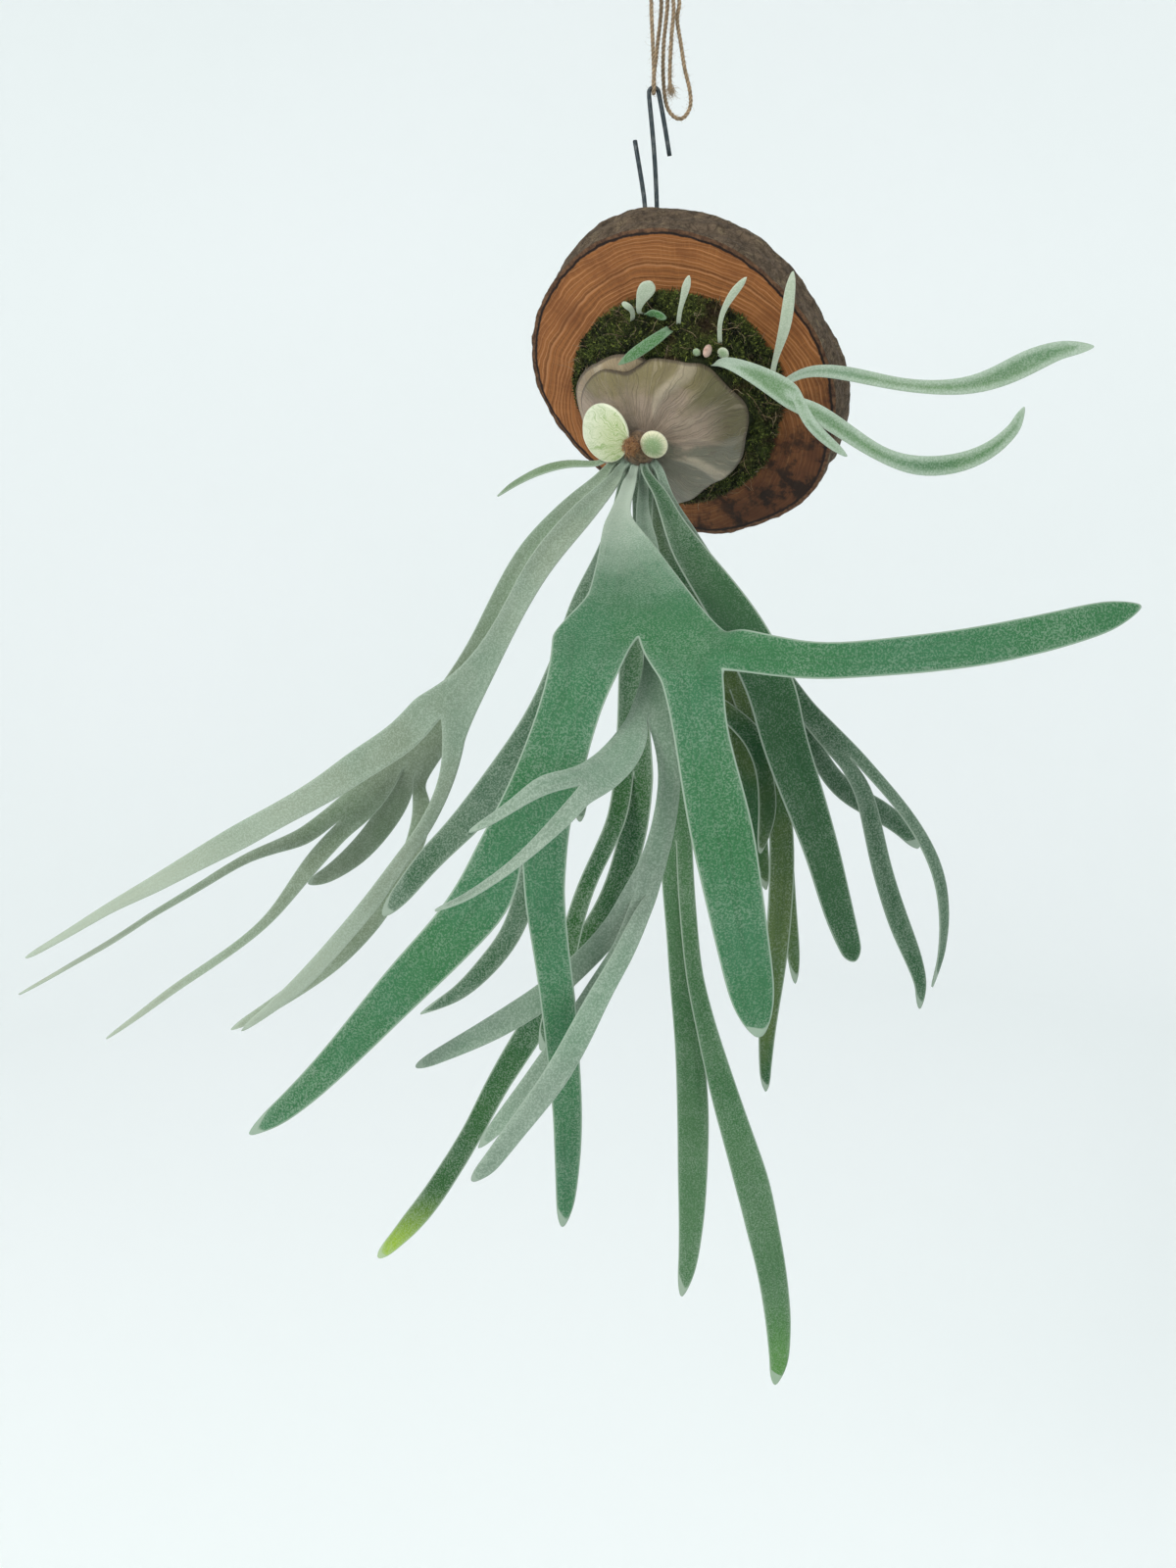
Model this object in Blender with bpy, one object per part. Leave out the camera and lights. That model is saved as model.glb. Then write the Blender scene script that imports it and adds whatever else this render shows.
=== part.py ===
"""Staghorn fern on a slice of a tree, hanging by a wire hook and a loop of twine.

Lengths are written in millimetres and turned into metres by MM. X runs to the
right, Y away from the front and Z up. The origin is where the twine bears on
the hook. The board, the moss and the shields are laid out on the board's own
axes: u to the right and v up along its front face, h out of that face.
"""

import math

import bmesh
import bpy
from mathutils import Euler, Matrix, Vector

MM = 0.001
GAP = 0.35

# The board: a slice of a trunk, turned a little left and leaning forward.
BOARD_CENTRE = (23.0, -6.0, -174.0)
BOARD_LEAN = 25.0
BOARD_TURN = -25.0
BOARD_THICK = 30.0
BOARD_SIDES = 72
BOARD_LEVELS = 5
BOARD_RAISED = 4.0
FRONT_RADII = (93, 92, 92, 96, 100, 103, 104, 105, 102, 94, 90, 95, 100, 98, 99, 95)
BACK_RADII = (92, 87, 90, 95, 100, 107, 108, 106, 101, 94, 90, 94, 97, 96, 98, 96)
BARK_BUMP = 0.9

# The moss over the root ball, and the papery shield that wraps it.
MOSS_RADII = (61, 63, 64, 65, 67, 67, 70, 74, 74, 72, 72, 74, 69, 63, 61, 58)
MOSS_HIGH = 38.0
MOSS_BUMP = 1.6
MOSS_RIM = 1.5
SHIELD_THICK = 1.6
UNDER_SHIELD_THICK = 1.2
OLD_SHIELD_LIFT = 1.5
UNDER_SHIELD_LIFT = 1.95
SHIELD_RIBS = 11
RIB_DEEP = 2.4
OLD_SHIELD_CENTRE = (-5.0, -6.0)
OLD_SHIELD_RADII = (52, 54, 52, 50, 46, 43, 52, 58, 52, 48, 52, 66, 56, 45, 47, 49)
UNDER_SHIELD_RADII = (24, 24, 26, 30, 36, 44, 54, 64, 70, 78, 72, 54, 38, 30, 26, 24)

# The growing point: a short rhizome, its bud and the two youngest shields.
CROWN_CENTRE = (-15.0, -9.0, 49.5)
CROWN_RADII = (11.0, 11.0, 9.0)
BUD_CENTRE = (-14.0, -1.5, 62.9)
BUD_RADII = (4.2, 4.6, 3.9)
OVAL_SHIELD_CENTRE = (-32.0, 3.6)
OVAL_SHIELD_RADII = (16.0, 17.6)
ROUND_SHIELD_CENTRE = (-1.6, -2.8)
ROUND_SHIELD_RADII = (8.2, 8.8)

# Leaves.
LEAF_THICK = 1.6
PUP_LEAF_THICK = 1.2
STALK_WIDTH = 4.6
STALK_LEAD = 7.0
# A lobe's first row stands this far along, and has narrowed this much beside a crotch.
CROTCH_NEAR = 0.28
CROTCH_WIDE = 0.68
ROW_STEP = 21.0
UP_AND_FRONT = (0.0, -0.7, 0.7)

# The hanging gear.
WIRE_RADIUS = 1.5
STAPLE_RADIUS = 0.8
STAPLE_HOLE_RADIUS = 1.35
STAPLE_DEEP = 14.0
STAPLE_PROUD = 8.0
STAPLE_TALL = 12.0
STAPLE_AT = (-24.1, 79.3)
HOOK_BEND = 3.0
LOW_BEND = 3.5
HOOK_LOW = -85.0
TWINE_RADIUS = 1.1
KNOT_HIGH = 78.0
KNOT_RADII = (6.0, 5.0, 5.4)


def clear_scene():
    for thing in list(bpy.data.objects):
        bpy.data.objects.remove(thing, do_unlink=True)


def make_material(name, colour, roughness, metallic=0.0):
    material = bpy.data.materials.new(name)
    material.use_nodes = True
    shader = material.node_tree.nodes["Principled BSDF"]
    shader.inputs["Base Color"].default_value = (*colour, 1.0)
    shader.inputs["Roughness"].default_value = roughness
    shader.inputs["Metallic"].default_value = metallic
    return material


def make_object(name, verts, faces, material, parent=None):
    """A smooth-shaded object from millimetre points, its faces turned outward."""
    mesh = bpy.data.meshes.new(name)
    mesh.from_pydata([Vector(v) * MM for v in verts], [], faces)
    work = bmesh.new()
    work.from_mesh(mesh)
    bmesh.ops.recalc_face_normals(work, faces=work.faces)
    work.to_mesh(mesh)
    work.free()
    mesh.materials.append(material)
    mesh.shade_smooth()
    mesh.set_sharp_from_angle(angle=math.radians(40))
    thing = bpy.data.objects.new(name, mesh)
    bpy.context.scene.collection.objects.link(thing)
    thing.parent = parent
    return thing


def around(radii, angle):
    """A smooth radius at an angle, through radii spaced evenly round a circle."""
    place = (angle / math.tau) % 1.0 * len(radii)
    i = int(place)
    t = place - i
    a, b, c, d = (radii[(i + k) % len(radii)] for k in (-1, 0, 1, 2))
    slope_in = (c - a) / 2
    slope_out = (d - b) / 2
    return (
        b * (1 - 3 * t * t + 2 * t ** 3)
        + slope_in * (t - 2 * t * t + t ** 3)
        + c * (3 * t * t - 2 * t ** 3)
        + slope_out * (t ** 3 - t * t)
    )


def board_matrix():
    turn = Euler((math.radians(90 + BOARD_LEAN), 0.0, math.radians(BOARD_TURN)))
    return Matrix.Translation(BOARD_CENTRE) @ turn.to_matrix().to_4x4()


def board_axes():
    """The empty that carries everything laid out on the board's face."""
    empty = bpy.data.objects.new("board_axes", None)
    empty.location = Vector(BOARD_CENTRE) * MM
    empty.rotation_euler = (math.radians(90 + BOARD_LEAN), 0.0, math.radians(BOARD_TURN))
    bpy.context.scene.collection.objects.link(empty)
    return empty


# Height fields on the board's face --------------------------------------------


def moss_height(u, v):
    """How far the moss stands off the board's face."""
    reach = math.hypot(u, v) / around(MOSS_RADII, math.atan2(v, u))
    return MOSS_HIGH * max(0.0, 1 - reach ** 2.2) ** 0.7


def moss_bump(u, v):
    return MOSS_BUMP * (math.sin(u / 3.7 + 1) * math.sin(v / 4.3) + math.sin((u + v) / 6.1)) / 2


def wrap_height(u, v):
    """The surface that the old shield lies on, clear of every lump of moss."""
    return moss_height(u, v) + MOSS_BUMP + GAP


def ribs(u, v):
    """Radial ridges that grow towards the old shield's margin."""
    angle = math.atan2(v, u)
    return RIB_DEEP * min(1.0, math.hypot(u, v) / 50) ** 1.5 * (0.5 + 0.5 * math.cos(SHIELD_RIBS * angle))


def old_shield_base(u, v):
    du = u - CROWN_CENTRE[0]
    dv = v - CROWN_CENTRE[1]
    return wrap_height(u, v) + SHIELD_THICK + GAP + ribs(du, dv)


def disc_rows(centre, radius_at, rings, sides):
    """Points of a disc in rings, from its centre out to its margin."""
    rows = [[centre]]
    for ring in range(1, rings + 1):
        share = ring / rings
        row = []
        for side in range(sides):
            angle = math.tau * side / sides
            reach = radius_at(angle) * share
            row.append((centre[0] + reach * math.cos(angle), centre[1] + reach * math.sin(angle)))
        rows.append(row)
    return rows


def disc_faces(rows, first, flip):
    """Triangles round the centre, then quads ring by ring; first is the centre's index."""
    sides = len(rows[1])
    faces = []
    for side in range(sides):
        after = (side + 1) % sides
        faces.append((first, first + 1 + side, first + 1 + after))
        for ring in range(1, len(rows) - 1):
            near = first + 1 + (ring - 1) * sides
            far = near + sides
            faces.append((near + side, far + side, far + after, near + after))
    if flip:
        faces = [tuple(reversed(face)) for face in faces]
    return faces


def height_shell(name, rows, low, high, material, parent):
    """A closed shell between two height fields over the same disc."""
    flat = [point for row in rows for point in row]
    sides = len(rows[1])
    verts = [(u, v, high(u, v)) for u, v in flat] + [(u, v, low(u, v)) for u, v in flat]
    faces = disc_faces(rows, 0, False) + disc_faces(rows, len(flat), True)
    rim = len(flat) - sides
    for side in range(sides):
        after = (side + 1) % sides
        faces.append((rim + side, len(flat) + rim + side, len(flat) + rim + after, rim + after))
    return make_object(name, verts, faces, material, parent)


# Board and moss ---------------------------------------------------------------


def bark_bump(angle, level):
    return BARK_BUMP * (math.sin(11 * angle + 2 * level) + 0.6 * math.sin(23 * angle - level))


def make_board(axes):
    """A disc with a flat sawn front and back and a rough bark rim."""
    verts = []
    for level in range(BOARD_LEVELS + 1):
        share = level / BOARD_LEVELS
        for side in range(BOARD_SIDES):
            angle = math.tau * side / BOARD_SIDES
            reach = around(FRONT_RADII, angle) * (1 - share) + around(BACK_RADII, angle) * share
            if 0 < level < BOARD_LEVELS:
                reach += bark_bump(angle, level)
            height = BOARD_RAISED + reach * math.sin(angle)
            verts.append((reach * math.cos(angle), height, -BOARD_THICK * share))
    faces = [tuple(range(BOARD_SIDES))]
    faces.append(tuple(BOARD_LEVELS * BOARD_SIDES + side for side in range(BOARD_SIDES)))
    for level in range(BOARD_LEVELS):
        near = level * BOARD_SIDES
        for side in range(BOARD_SIDES):
            after = (side + 1) % BOARD_SIDES
            faces.append((near + side, near + BOARD_SIDES + side, near + BOARD_SIDES + after, near + after))
    wood = make_material("wood_slice", (0.42, 0.20, 0.09), 0.7)
    board = make_object("board", verts, faces, wood, axes)
    for number, v in enumerate(staple_heights()):
        cut_staple_hole(board, axes, v, number)
    return board


def staple_heights():
    return (STAPLE_AT[1] + STAPLE_TALL / 2, STAPLE_AT[1] - STAPLE_TALL / 2)


def cut_staple_hole(board, axes, v, number):
    """A blind hole in the back face for one leg of the staple."""
    deep = STAPLE_DEEP + 1.0
    bpy.ops.mesh.primitive_cylinder_add(vertices=16, radius=STAPLE_HOLE_RADIUS * MM, depth=2 * deep * MM)
    cutter = bpy.context.object
    cutter.name = f"staple_hole_{number}"
    cutter.parent = axes
    cutter.location = Vector((STAPLE_AT[0], v, -BOARD_THICK)) * MM
    cutter.hide_render = True
    cutter.display_type = "WIRE"
    cut = board.modifiers.new(cutter.name, "BOOLEAN")
    cut.object = cutter
    cut.solver = "EXACT"


def make_moss(axes):
    rows = disc_rows((0.0, 0.0), lambda angle: around(MOSS_RADII, angle), 11, 40)
    moss = make_material("moss", (0.035, 0.045, 0.015), 0.95)

    def high(u, v):
        return GAP + MOSS_RIM + moss_height(u, v) + moss_bump(u, v) * min(1.0, moss_height(u, v) / 8)

    return height_shell("moss_ball", rows, lambda u, v: GAP, high, moss, axes)


# Shields and growing point ----------------------------------------------------


def oval(radii):
    wide, tall = radii
    return lambda angle: wide * tall / math.hypot(tall * math.cos(angle), wide * math.sin(angle))


def shield_margin(radii, waves, deep):
    return lambda angle: around(radii, angle) * (1 + deep * math.sin(waves * angle))


def make_old_shield(axes):
    """The big papery shield, ribbed from the growing point to a wavy margin."""
    rows = disc_rows(OLD_SHIELD_CENTRE, shield_margin(OLD_SHIELD_RADII, 9, 0.02), 8, 44)
    papery = make_material("old_shield", (0.25, 0.20, 0.15), 0.8)

    def low(u, v):
        return old_shield_base(u, v) + OLD_SHIELD_LIFT

    return height_shell("shield_old", rows, low, lambda u, v: low(u, v) + SHIELD_THICK, papery, axes)


def make_under_shield(axes):
    """An older shield that shows at the left, between the big one and the moss."""
    rows = disc_rows((0.0, 0.0), shield_margin(UNDER_SHIELD_RADII, 7, 0.02), 7, 36)
    papery = make_material("under_shield", (0.30, 0.22, 0.18), 0.85)

    def low(u, v):
        return wrap_height(u, v) + UNDER_SHIELD_LIFT

    return height_shell("shield_under", rows, low, lambda u, v: low(u, v) + UNDER_SHIELD_THICK, papery, axes)


def ellipsoid_rows(centre, radii, rings, sides):
    """Rings of points on an ellipsoid, from its lowest ring to its highest."""
    rows = []
    for ring in range(1, rings):
        rise = math.pi * (ring / rings - 0.5)
        row = []
        for side in range(sides):
            angle = math.tau * side / sides
            row.append((
                centre[0] + radii[0] * math.cos(rise) * math.cos(angle),
                centre[1] + radii[1] * math.cos(rise) * math.sin(angle),
                centre[2] + radii[2] * math.sin(rise),
            ))
        rows.append(row)
    return rows


def make_ellipsoid(name, centre, radii, material, parent, rings=8, sides=20, floor=None):
    rows = ellipsoid_rows(centre, radii, rings, sides)
    low = (centre[0], centre[1], centre[2] - radii[2])
    high = (centre[0], centre[1], centre[2] + radii[2])
    verts = [low] + [point for row in rows for point in row] + [high]
    if floor:
        verts = [(x, y, max(z, floor(x, y))) for x, y, z in verts]
    faces = []
    last = len(verts) - 1
    for side in range(sides):
        after = (side + 1) % sides
        faces.append((0, 1 + after, 1 + side))
        faces.append((last, last - sides + side, last - sides + after))
        for ring in range(rings - 2):
            near = 1 + ring * sides
            faces.append((near + side, near + after, near + sides + after, near + sides + side))
    return make_object(name, verts, faces, material, parent)


def shield_top(u, v):
    """The old shield's upper side, with a hair of room for what lies on it."""
    return old_shield_base(u, v) + OLD_SHIELD_LIFT + SHIELD_THICK + GAP + 0.15


def make_crown(axes):
    """The end of the rhizome, bedded on the old shield; every stalk starts on it."""
    brown = make_material("rhizome", (0.20, 0.13, 0.07), 0.9)
    low = CROWN_CENTRE[2] - CROWN_RADII[2]

    def floor(u, v):
        share = math.hypot(u - CROWN_CENTRE[0], v - CROWN_CENTRE[1]) / CROWN_RADII[0]
        return shield_top(u, v) + 0.6 * share if share < 2 else low

    return make_ellipsoid("crown", CROWN_CENTRE, CROWN_RADII, brown, axes, 12, 28, floor)


def make_bud(axes):
    fuzz = make_material("bud_fuzz", (0.24, 0.10, 0.03), 0.95)
    return make_ellipsoid("bud", BUD_CENTRE, BUD_RADII, fuzz, axes, 8, 16)


def make_new_shield(axes, name, centre, radii, colour, rise, tilt):
    """A young shield: a small dished disc that leans on the rhizome's shoulder."""
    rows = disc_rows(centre, oval(radii), 5, 24)
    young = make_material(name, colour, 0.6)
    level = CROWN_CENTRE[2] + rise

    def low(u, v):
        du = (u - centre[0]) / radii[0]
        dv = (v - centre[1]) / radii[1]
        return level + tilt[0] * du + tilt[1] * dv - 2.2 * (du * du + dv * dv)

    return height_shell(name, rows, low, lambda u, v: low(u, v) + LEAF_THICK, young, axes)


# Leaves -----------------------------------------------------------------------


def crown_seat(turn, rise):
    """A point just off the rhizome's flank and the way out of it, in row axes."""
    turn = math.radians(turn)
    rise = math.radians(rise)
    flank = Vector((math.cos(turn) * math.cos(rise), math.sin(turn) * math.cos(rise), math.sin(rise)))
    centre = Vector(CROWN_CENTRE)
    radii = Vector(CROWN_RADII)
    point = centre + flank * radii
    out = Vector((flank[0] / radii[0], flank[1] / radii[1], flank[2] / radii[2])).normalized()
    axes = board_matrix()
    return axes @ (point + out * (GAP + 0.1)), axes.to_3x3() @ out


def smooth_point(a, b, c, d, t):
    """A point at t between b and c on the Catmull-Rom curve through four points."""
    return 0.5 * (
        2 * b + (c - a) * t + (2 * a - 5 * b + 4 * c - d) * t * t + (3 * b - a - 3 * c + d) * t ** 3
    )


def smooth_path(before, points, step):
    """Even points along a smooth curve, each as (place, share of the way, nearest index)."""
    run = [before] + points + [2 * points[-1] - points[-2]]
    path = []
    for i in range(len(points) - 1):
        length = (points[i + 1] - points[i]).length
        count = max(1, round(length / step))
        for k in range(count):
            path.append((smooth_point(*run[i:i + 4], k / count), i + k / count))
    path.append((points[-1], len(points) - 1.0))
    return path


def value_at(values, place):
    i = min(int(place), len(values) - 2)
    return values[i] + (values[i + 1] - values[i]) * (place - i)


class Branch:
    """A stretch of leaf: points as (x, y, z, width), and the branches it forks into.

    ahead turns its last row. fork gives that row outright, as the left margin, each
    crotch and the right margin.
    """

    def __init__(self, points, kids=(), face=None, cup=0.0, ahead=None, fork=None):
        self.points = [Vector(p[:3]) for p in points]
        self.ahead = ahead
        self.fork = [Vector(p) for p in fork] if fork else None
        self.widths = [p[3] for p in points]
        self.kids = kids
        self.face = face
        self.cup = cup

    def tips(self):
        return sum(kid.tips() for kid in self.kids) if self.kids else 1


def leaf_row(centre, forward, face, width, cup, columns):
    """One row of points across a leaf, hollowed by cup times its half width."""
    across = face.cross(forward).normalized()
    upper = forward.cross(across).normalized()
    row = []
    for column in range(columns + 1):
        side = 2 * column / columns - 1
        sink = cup * (1 - side * side) * width / 2
        row.append(centre + across * (side * width / 2) - upper * sink)
    return row


def fork_row(corners, kids):
    """A last row that bends at each crotch, so that the lobes leave it in their own directions."""
    row = [corners[0]]
    for kid, left, right in zip(kids, corners, corners[1:]):
        columns = 2 * kid.tips()
        row += [left.lerp(right, column / columns) for column in range(1, columns + 1)]
    return row


def rounded_end(path, widths):
    """Adds short rows to a free end, so that its outline closes in an arc."""
    tip, place = path[-1]
    last, last_place = path[-2]
    width = value_at(widths, last_place)
    reach = 0.9 * (tip - last).length
    ahead = (tip - last).normalized()
    rows = []
    for share in (0.35, 0.7, 0.92, 0.99):
        taper = width + (widths[-1] - width) * share
        rows.append((tip - ahead * reach * (1 - share), taper * math.sqrt(1 - share ** 4)))
    return rows


class LeafMesh:
    """Collects the rows of one forked leaf as a single surface."""

    def __init__(self):
        self.verts = []
        self.faces = []

    def add_row(self, row):
        first = len(self.verts)
        self.verts.extend(row)
        return list(range(first, first + len(row)))

    def stitch(self, near, far):
        for i in range(len(near) - 1):
            self.faces.append((near[i], near[i + 1], far[i + 1], far[i]))

    def crotch_row(self, start_row, row, crotches):
        """A row close to a fork, drawn in beside each crotch so that the crotch is round."""
        starts = [self.verts[index] for index in start_row]
        ahead = (row[0] + row[-1] - starts[0] - starts[-1]).normalized()
        bent = []
        for column, (near, far) in enumerate(zip(starts, row)):
            share = column / (len(row) - 1)
            beside = max(crotches[0] * (1 - share), crotches[1] * share)
            along = ahead * (far - near).dot(ahead)
            aside = far - near - along
            bent.append(near + along * CROTCH_NEAR + aside * (CROTCH_NEAR + (CROTCH_WIDE - CROTCH_NEAR) * beside))
        return bent

    def grow(self, branch, start_row, before, face, cup, crotches=(0, 0)):
        """Adds a branch from an existing row, then its forks from parts of the last row.

        crotches says whether a crotch lies at the left and at the right of the first row.
        """
        columns = 2 * branch.tips()
        start = (self.verts[start_row[0]] + self.verts[start_row[-1]]) / 2
        start_width = (self.verts[start_row[0]] - self.verts[start_row[-1]]).length
        points = [start] + branch.points
        widths = [start_width] + branch.widths
        face_end = Vector(branch.face).normalized() if branch.face else face
        path = smooth_path(before, points, ROW_STEP)
        stations = [(p, value_at(widths, at), at / (len(points) - 1)) for p, at in path[1:]]
        if not branch.kids:
            rows = rounded_end(path, widths)
            stations = stations[:-1] + [(p, width, 1.0) for p, width in rows]
        near = start_row
        places = [start] + [station[0] for station in stations]
        for i, (place, width, share) in enumerate(stations):
            ahead = places[min(i + 2, len(places) - 1)] - places[i]
            if branch.ahead and place == places[-1]:
                ahead = Vector(branch.ahead)
            way = face.lerp(face_end, share).normalized()
            hollow = cup + (branch.cup - cup) * share
            row = leaf_row(place, ahead.normalized(), way, width, hollow, columns)
            if branch.fork and place == places[-1]:
                row = fork_row(branch.fork, branch.kids)
            if i == 0 and any(crotches):
                bent = self.add_row(self.crotch_row(near, row, crotches))
                self.stitch(near, bent)
                near = bent
            far = self.add_row(row)
            self.stitch(near, far)
            near = far
        used = 0
        before_kids = places[-2]
        for number, kid in enumerate(branch.kids):
            share = 2 * kid.tips()
            part = near[used:used + share + 1]
            offset = (self.verts[part[0]] + self.verts[part[-1]]) / 2 - places[-1]
            sides = (int(number > 0), int(number < len(branch.kids) - 1))
            self.grow(kid, part, before_kids + offset, face_end, branch.cup, sides)
            used += share


def make_leaf(name, material, branch, seat, base_width, base_cup, face, parent=None, thick=LEAF_THICK):
    """One leaf as a closed sheet; seat is its first point and the way it leaves."""
    start, out = seat
    leaf = LeafMesh()
    face = Vector(face).normalized()
    columns = 2 * branch.tips()
    row = leaf_row(start, out, face, base_width, base_cup, columns)
    first = leaf.add_row(row)
    leaf.grow(branch, first, start - out * 8, face, base_cup)
    thing = make_object(name, leaf.verts, leaf.faces, material, parent)
    sheet = thing.modifiers.new("thickness", "SOLIDIFY")
    sheet.thickness = thick * MM
    sheet.offset = 0.0
    return thing


def make_frond(name, turn, rise, branch, cup=0.35, width=STALK_WIDTH, colour=(0.10, 0.24, 0.13)):
    """A frond whose stalk starts on the rhizome, at a turn and a rise round it."""
    green = make_material(name, colour, 0.75)
    start, out = crown_seat(turn, rise)
    lead = start + out * STALK_LEAD
    branch.points.insert(0, lead)
    branch.widths.insert(0, width + 0.5)
    return make_leaf(name, green, branch, (start, out), width, cup, UP_AND_FRONT)


def make_fronds():
    """The antler fronds, from the front of the plant to its back."""
    make_frond("frond_front", 262, 46, Branch(
        [(-14, -62, -220, 8), (-17, -86, -227, 8), (-21, -120, -234, 11), (-21, -152, -240, 20),
         (-18, -182, -248, 30), (-16, -213, -256, 40), (-14, -236, -263, 49), (-14, -250, -268, 60),
         (-15, -264, -277, 80)],
        cup=0.1, ahead=(0, -0.7, -0.7),
        kids=(
            Branch([(-40, -286, -288, 32), (-44, -294, -298, 28), (-49, -304, -312, 27), (-55, -313, -330, 29),
                    (-62, -320, -348, 32), (-68, -323, -368, 41)],
                   face=(0, -1, 0.2), kids=(
                Branch([(-85, -324, -387, 27), (-99, -325, -404, 23), (-117, -324, -423, 22), (-135, -321, -444, 19),
                        (-153, -317, -466, 16), (-180, -311, -495, 12), (-201, -305, -513, 5)],
                       face=(-0.2, -1, 0.3)),
                Branch([(-58, -326, -387, 18), (-55, -327, -411, 16), (-52, -325, -435, 16), (-50, -322, -463, 15),
                        (-48, -317, -492, 14), (-48, -312, -518, 13), (-49, -307, -544, 10), (-51, -303, -564, 5)],
                       face=(0.1, -1, 0)))),
            Branch([(18, -286, -286, 52)], face=(0, -1, 0.25),
                   fork=((-6, -286, -294), (23, -289, -290), (31, -283, -272)), kids=(
                Branch([(10, -289, -300, 27), (12, -296, -316, 24), (17, -304, -339, 27), (22, -310, -361, 29),
                        (29, -314, -396, 26), (37, -313, -436, 22), (42, -309, -461, 10)], face=(0, -1, 0.1)),
                Branch([(50, -291, -284, 18), (67, -295, -285, 16), (93, -296, -283, 17),
                        (138, -290, -279, 18), (166, -282, -275, 18), (195, -274, -269, 16), (217, -267, -264, 6)],
                       face=(0, -0.9, 0.45)))),
        )), cup=0.5)

    make_frond("frond_forward", 274, 10, Branch(
        [(-7, -72, -236, 7), (-7, -100, -242, 9), (-6, -140, -250, 11), (-6, -185, -263, 12), (-5, -228, -280, 13),
         (-5, -258, -299, 15), (-9, -280, -316, 23)],
        cup=0.0,
        kids=(
            Branch([(-23, -306, -325, 18), (-33, -328, -329, 18), (-42, -340, -330, 17)],
                   face=(0, -0.9, 0.4), kids=(
                Branch([(-58, -347, -328, 9), (-67, -350, -334, 6), (-77, -351, -341, 5), (-89, -351, -348, 3)],
                       face=(-0.5, -0.7, 0.6)),
                Branch([(-49, -347, -343, 8), (-61, -351, -354, 6), (-74, -354, -365, 5), (-89, -355, -375, 5),
                        (-104, -354, -382, 3)], face=(-0.6, -0.3, 0.8)))),
            Branch([(0, -288, -338, 10), (-3, -292, -362, 11), (-8, -295, -379, 12), (-14, -298, -393, 16)],
                   face=(0, -1, 0.1), kids=(
                Branch([(-27, -301, -411, 11), (-45, -303, -430, 11), (-63, -303, -446, 13), (-90, -297, -465, 11),
                        (-111, -293, -478, 7), (-122, -290, -485, 4)], face=(-0.2, -1, 0.3)),
                Branch([(-22, -306, -416, 8), (-31, -309, -429, 8), (-43, -312, -448, 8), (-57, -313, -469, 8),
                        (-79, -311, -502, 8), (-91, -309, -518, 4)], face=(-0.5, -0.8, 0.2)),
                Branch([(-18, -313, -408, 9), (-24, -321, -418, 9), (-33, -330, -430, 10), (-43, -339, -448, 12),
                        (-55, -342, -469, 12), (-70, -342, -489, 10), (-83, -340, -509, 9), (-92, -337, -520, 5)],
                       face=(0.2, -1, 0.1)))),
        )), cup=0.5)

    make_frond("frond_left", 220, 42, Branch(
        [(-22, -60, -219, 8), (-36, -78, -232, 13), (-47, -89, -243, 15), (-60, -99, -257, 15),
         (-71, -108, -272, 14), (-83, -117, -294, 12), (-98, -125, -320, 16), (-113, -130, -338, 27),
         (-121, -132, -347, 36)],
        face=(0.1, -1, 0.25),
        kids=(
            Branch([(-142, -134, -357, 19), (-170, -136, -375, 18), (-188, -136, -388, 16), (-211, -134, -401, 14),
                    (-242, -131, -419, 15), (-268, -127, -434, 12), (-294, -122, -450, 10), (-316, -118, -462, 7),
                    (-347, -111, -482, 5), (-379, -104, -502, 3)], face=(-0.2, -1, 0.4)),
            Branch([(-115, -135, -368, 11), (-118, -136, -381, 9), (-123, -138, -394, 8), (-132, -140, -411, 8),
                    (-146, -142, -429, 8), (-159, -144, -448, 10), (-183, -146, -477, 10), (-200, -147, -496, 10),
                    (-214, -147, -509, 8), (-241, -146, -531, 3)], face=(0.3, -1, 0.1)),
        )), cup=0.7)

    make_frond("frond_left_back", 204, 12, Branch(
        [(-32, -50, -221, 7), (-45, -59, -231, 10), (-61, -69, -247, 13), (-75, -77, -263, 14), (-87, -85, -286, 15),
         (-101, -94, -316, 17), (-122, -102, -352, 24), (-146, -107, -382, 30)],
        face=(0.1, -1, 0.25),
        kids=(
            Branch([(-169, -110, -401, 22), (-185, -111, -414, 21)], face=(0, -1, 0.3), kids=(
                Branch([(-206, -109, -424, 11), (-220, -108, -429, 8), (-240, -106, -437, 6), (-274, -101, -459, 5),
                        (-303, -97, -477, 4), (-332, -92, -497, 4), (-394, -82, -535, 2)], face=(-0.5, -0.7, 0.6)),
                Branch([(-200, -113, -437, 11), (-215, -116, -457, 8), (-226, -118, -471, 6), (-243, -118, -486, 5),
                        (-264, -117, -501, 5), (-287, -115, -517, 5), (-307, -112, -533, 4), (-333, -108, -553, 2)],
                       face=(-0.3, -1, 0.2)))),
            Branch([(-152, -98, -405, 16), (-163, -93, -423, 15), (-179, -88, -442, 14), (-196, -84, -455, 10),
                    (-210, -82, -462, 5)]),
            Branch([(-134, -113, -408, 12), (-140, -118, -428, 11), (-147, -122, -442, 10), (-160, -125, -466, 10),
                    (-176, -128, -483, 11), (-191, -129, -497, 11), (-212, -129, -513, 9), (-234, -128, -528, 7),
                    (-252, -126, -539, 3)], face=(-0.2, -1, 0.2)),
        )), cup=0.5)

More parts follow.
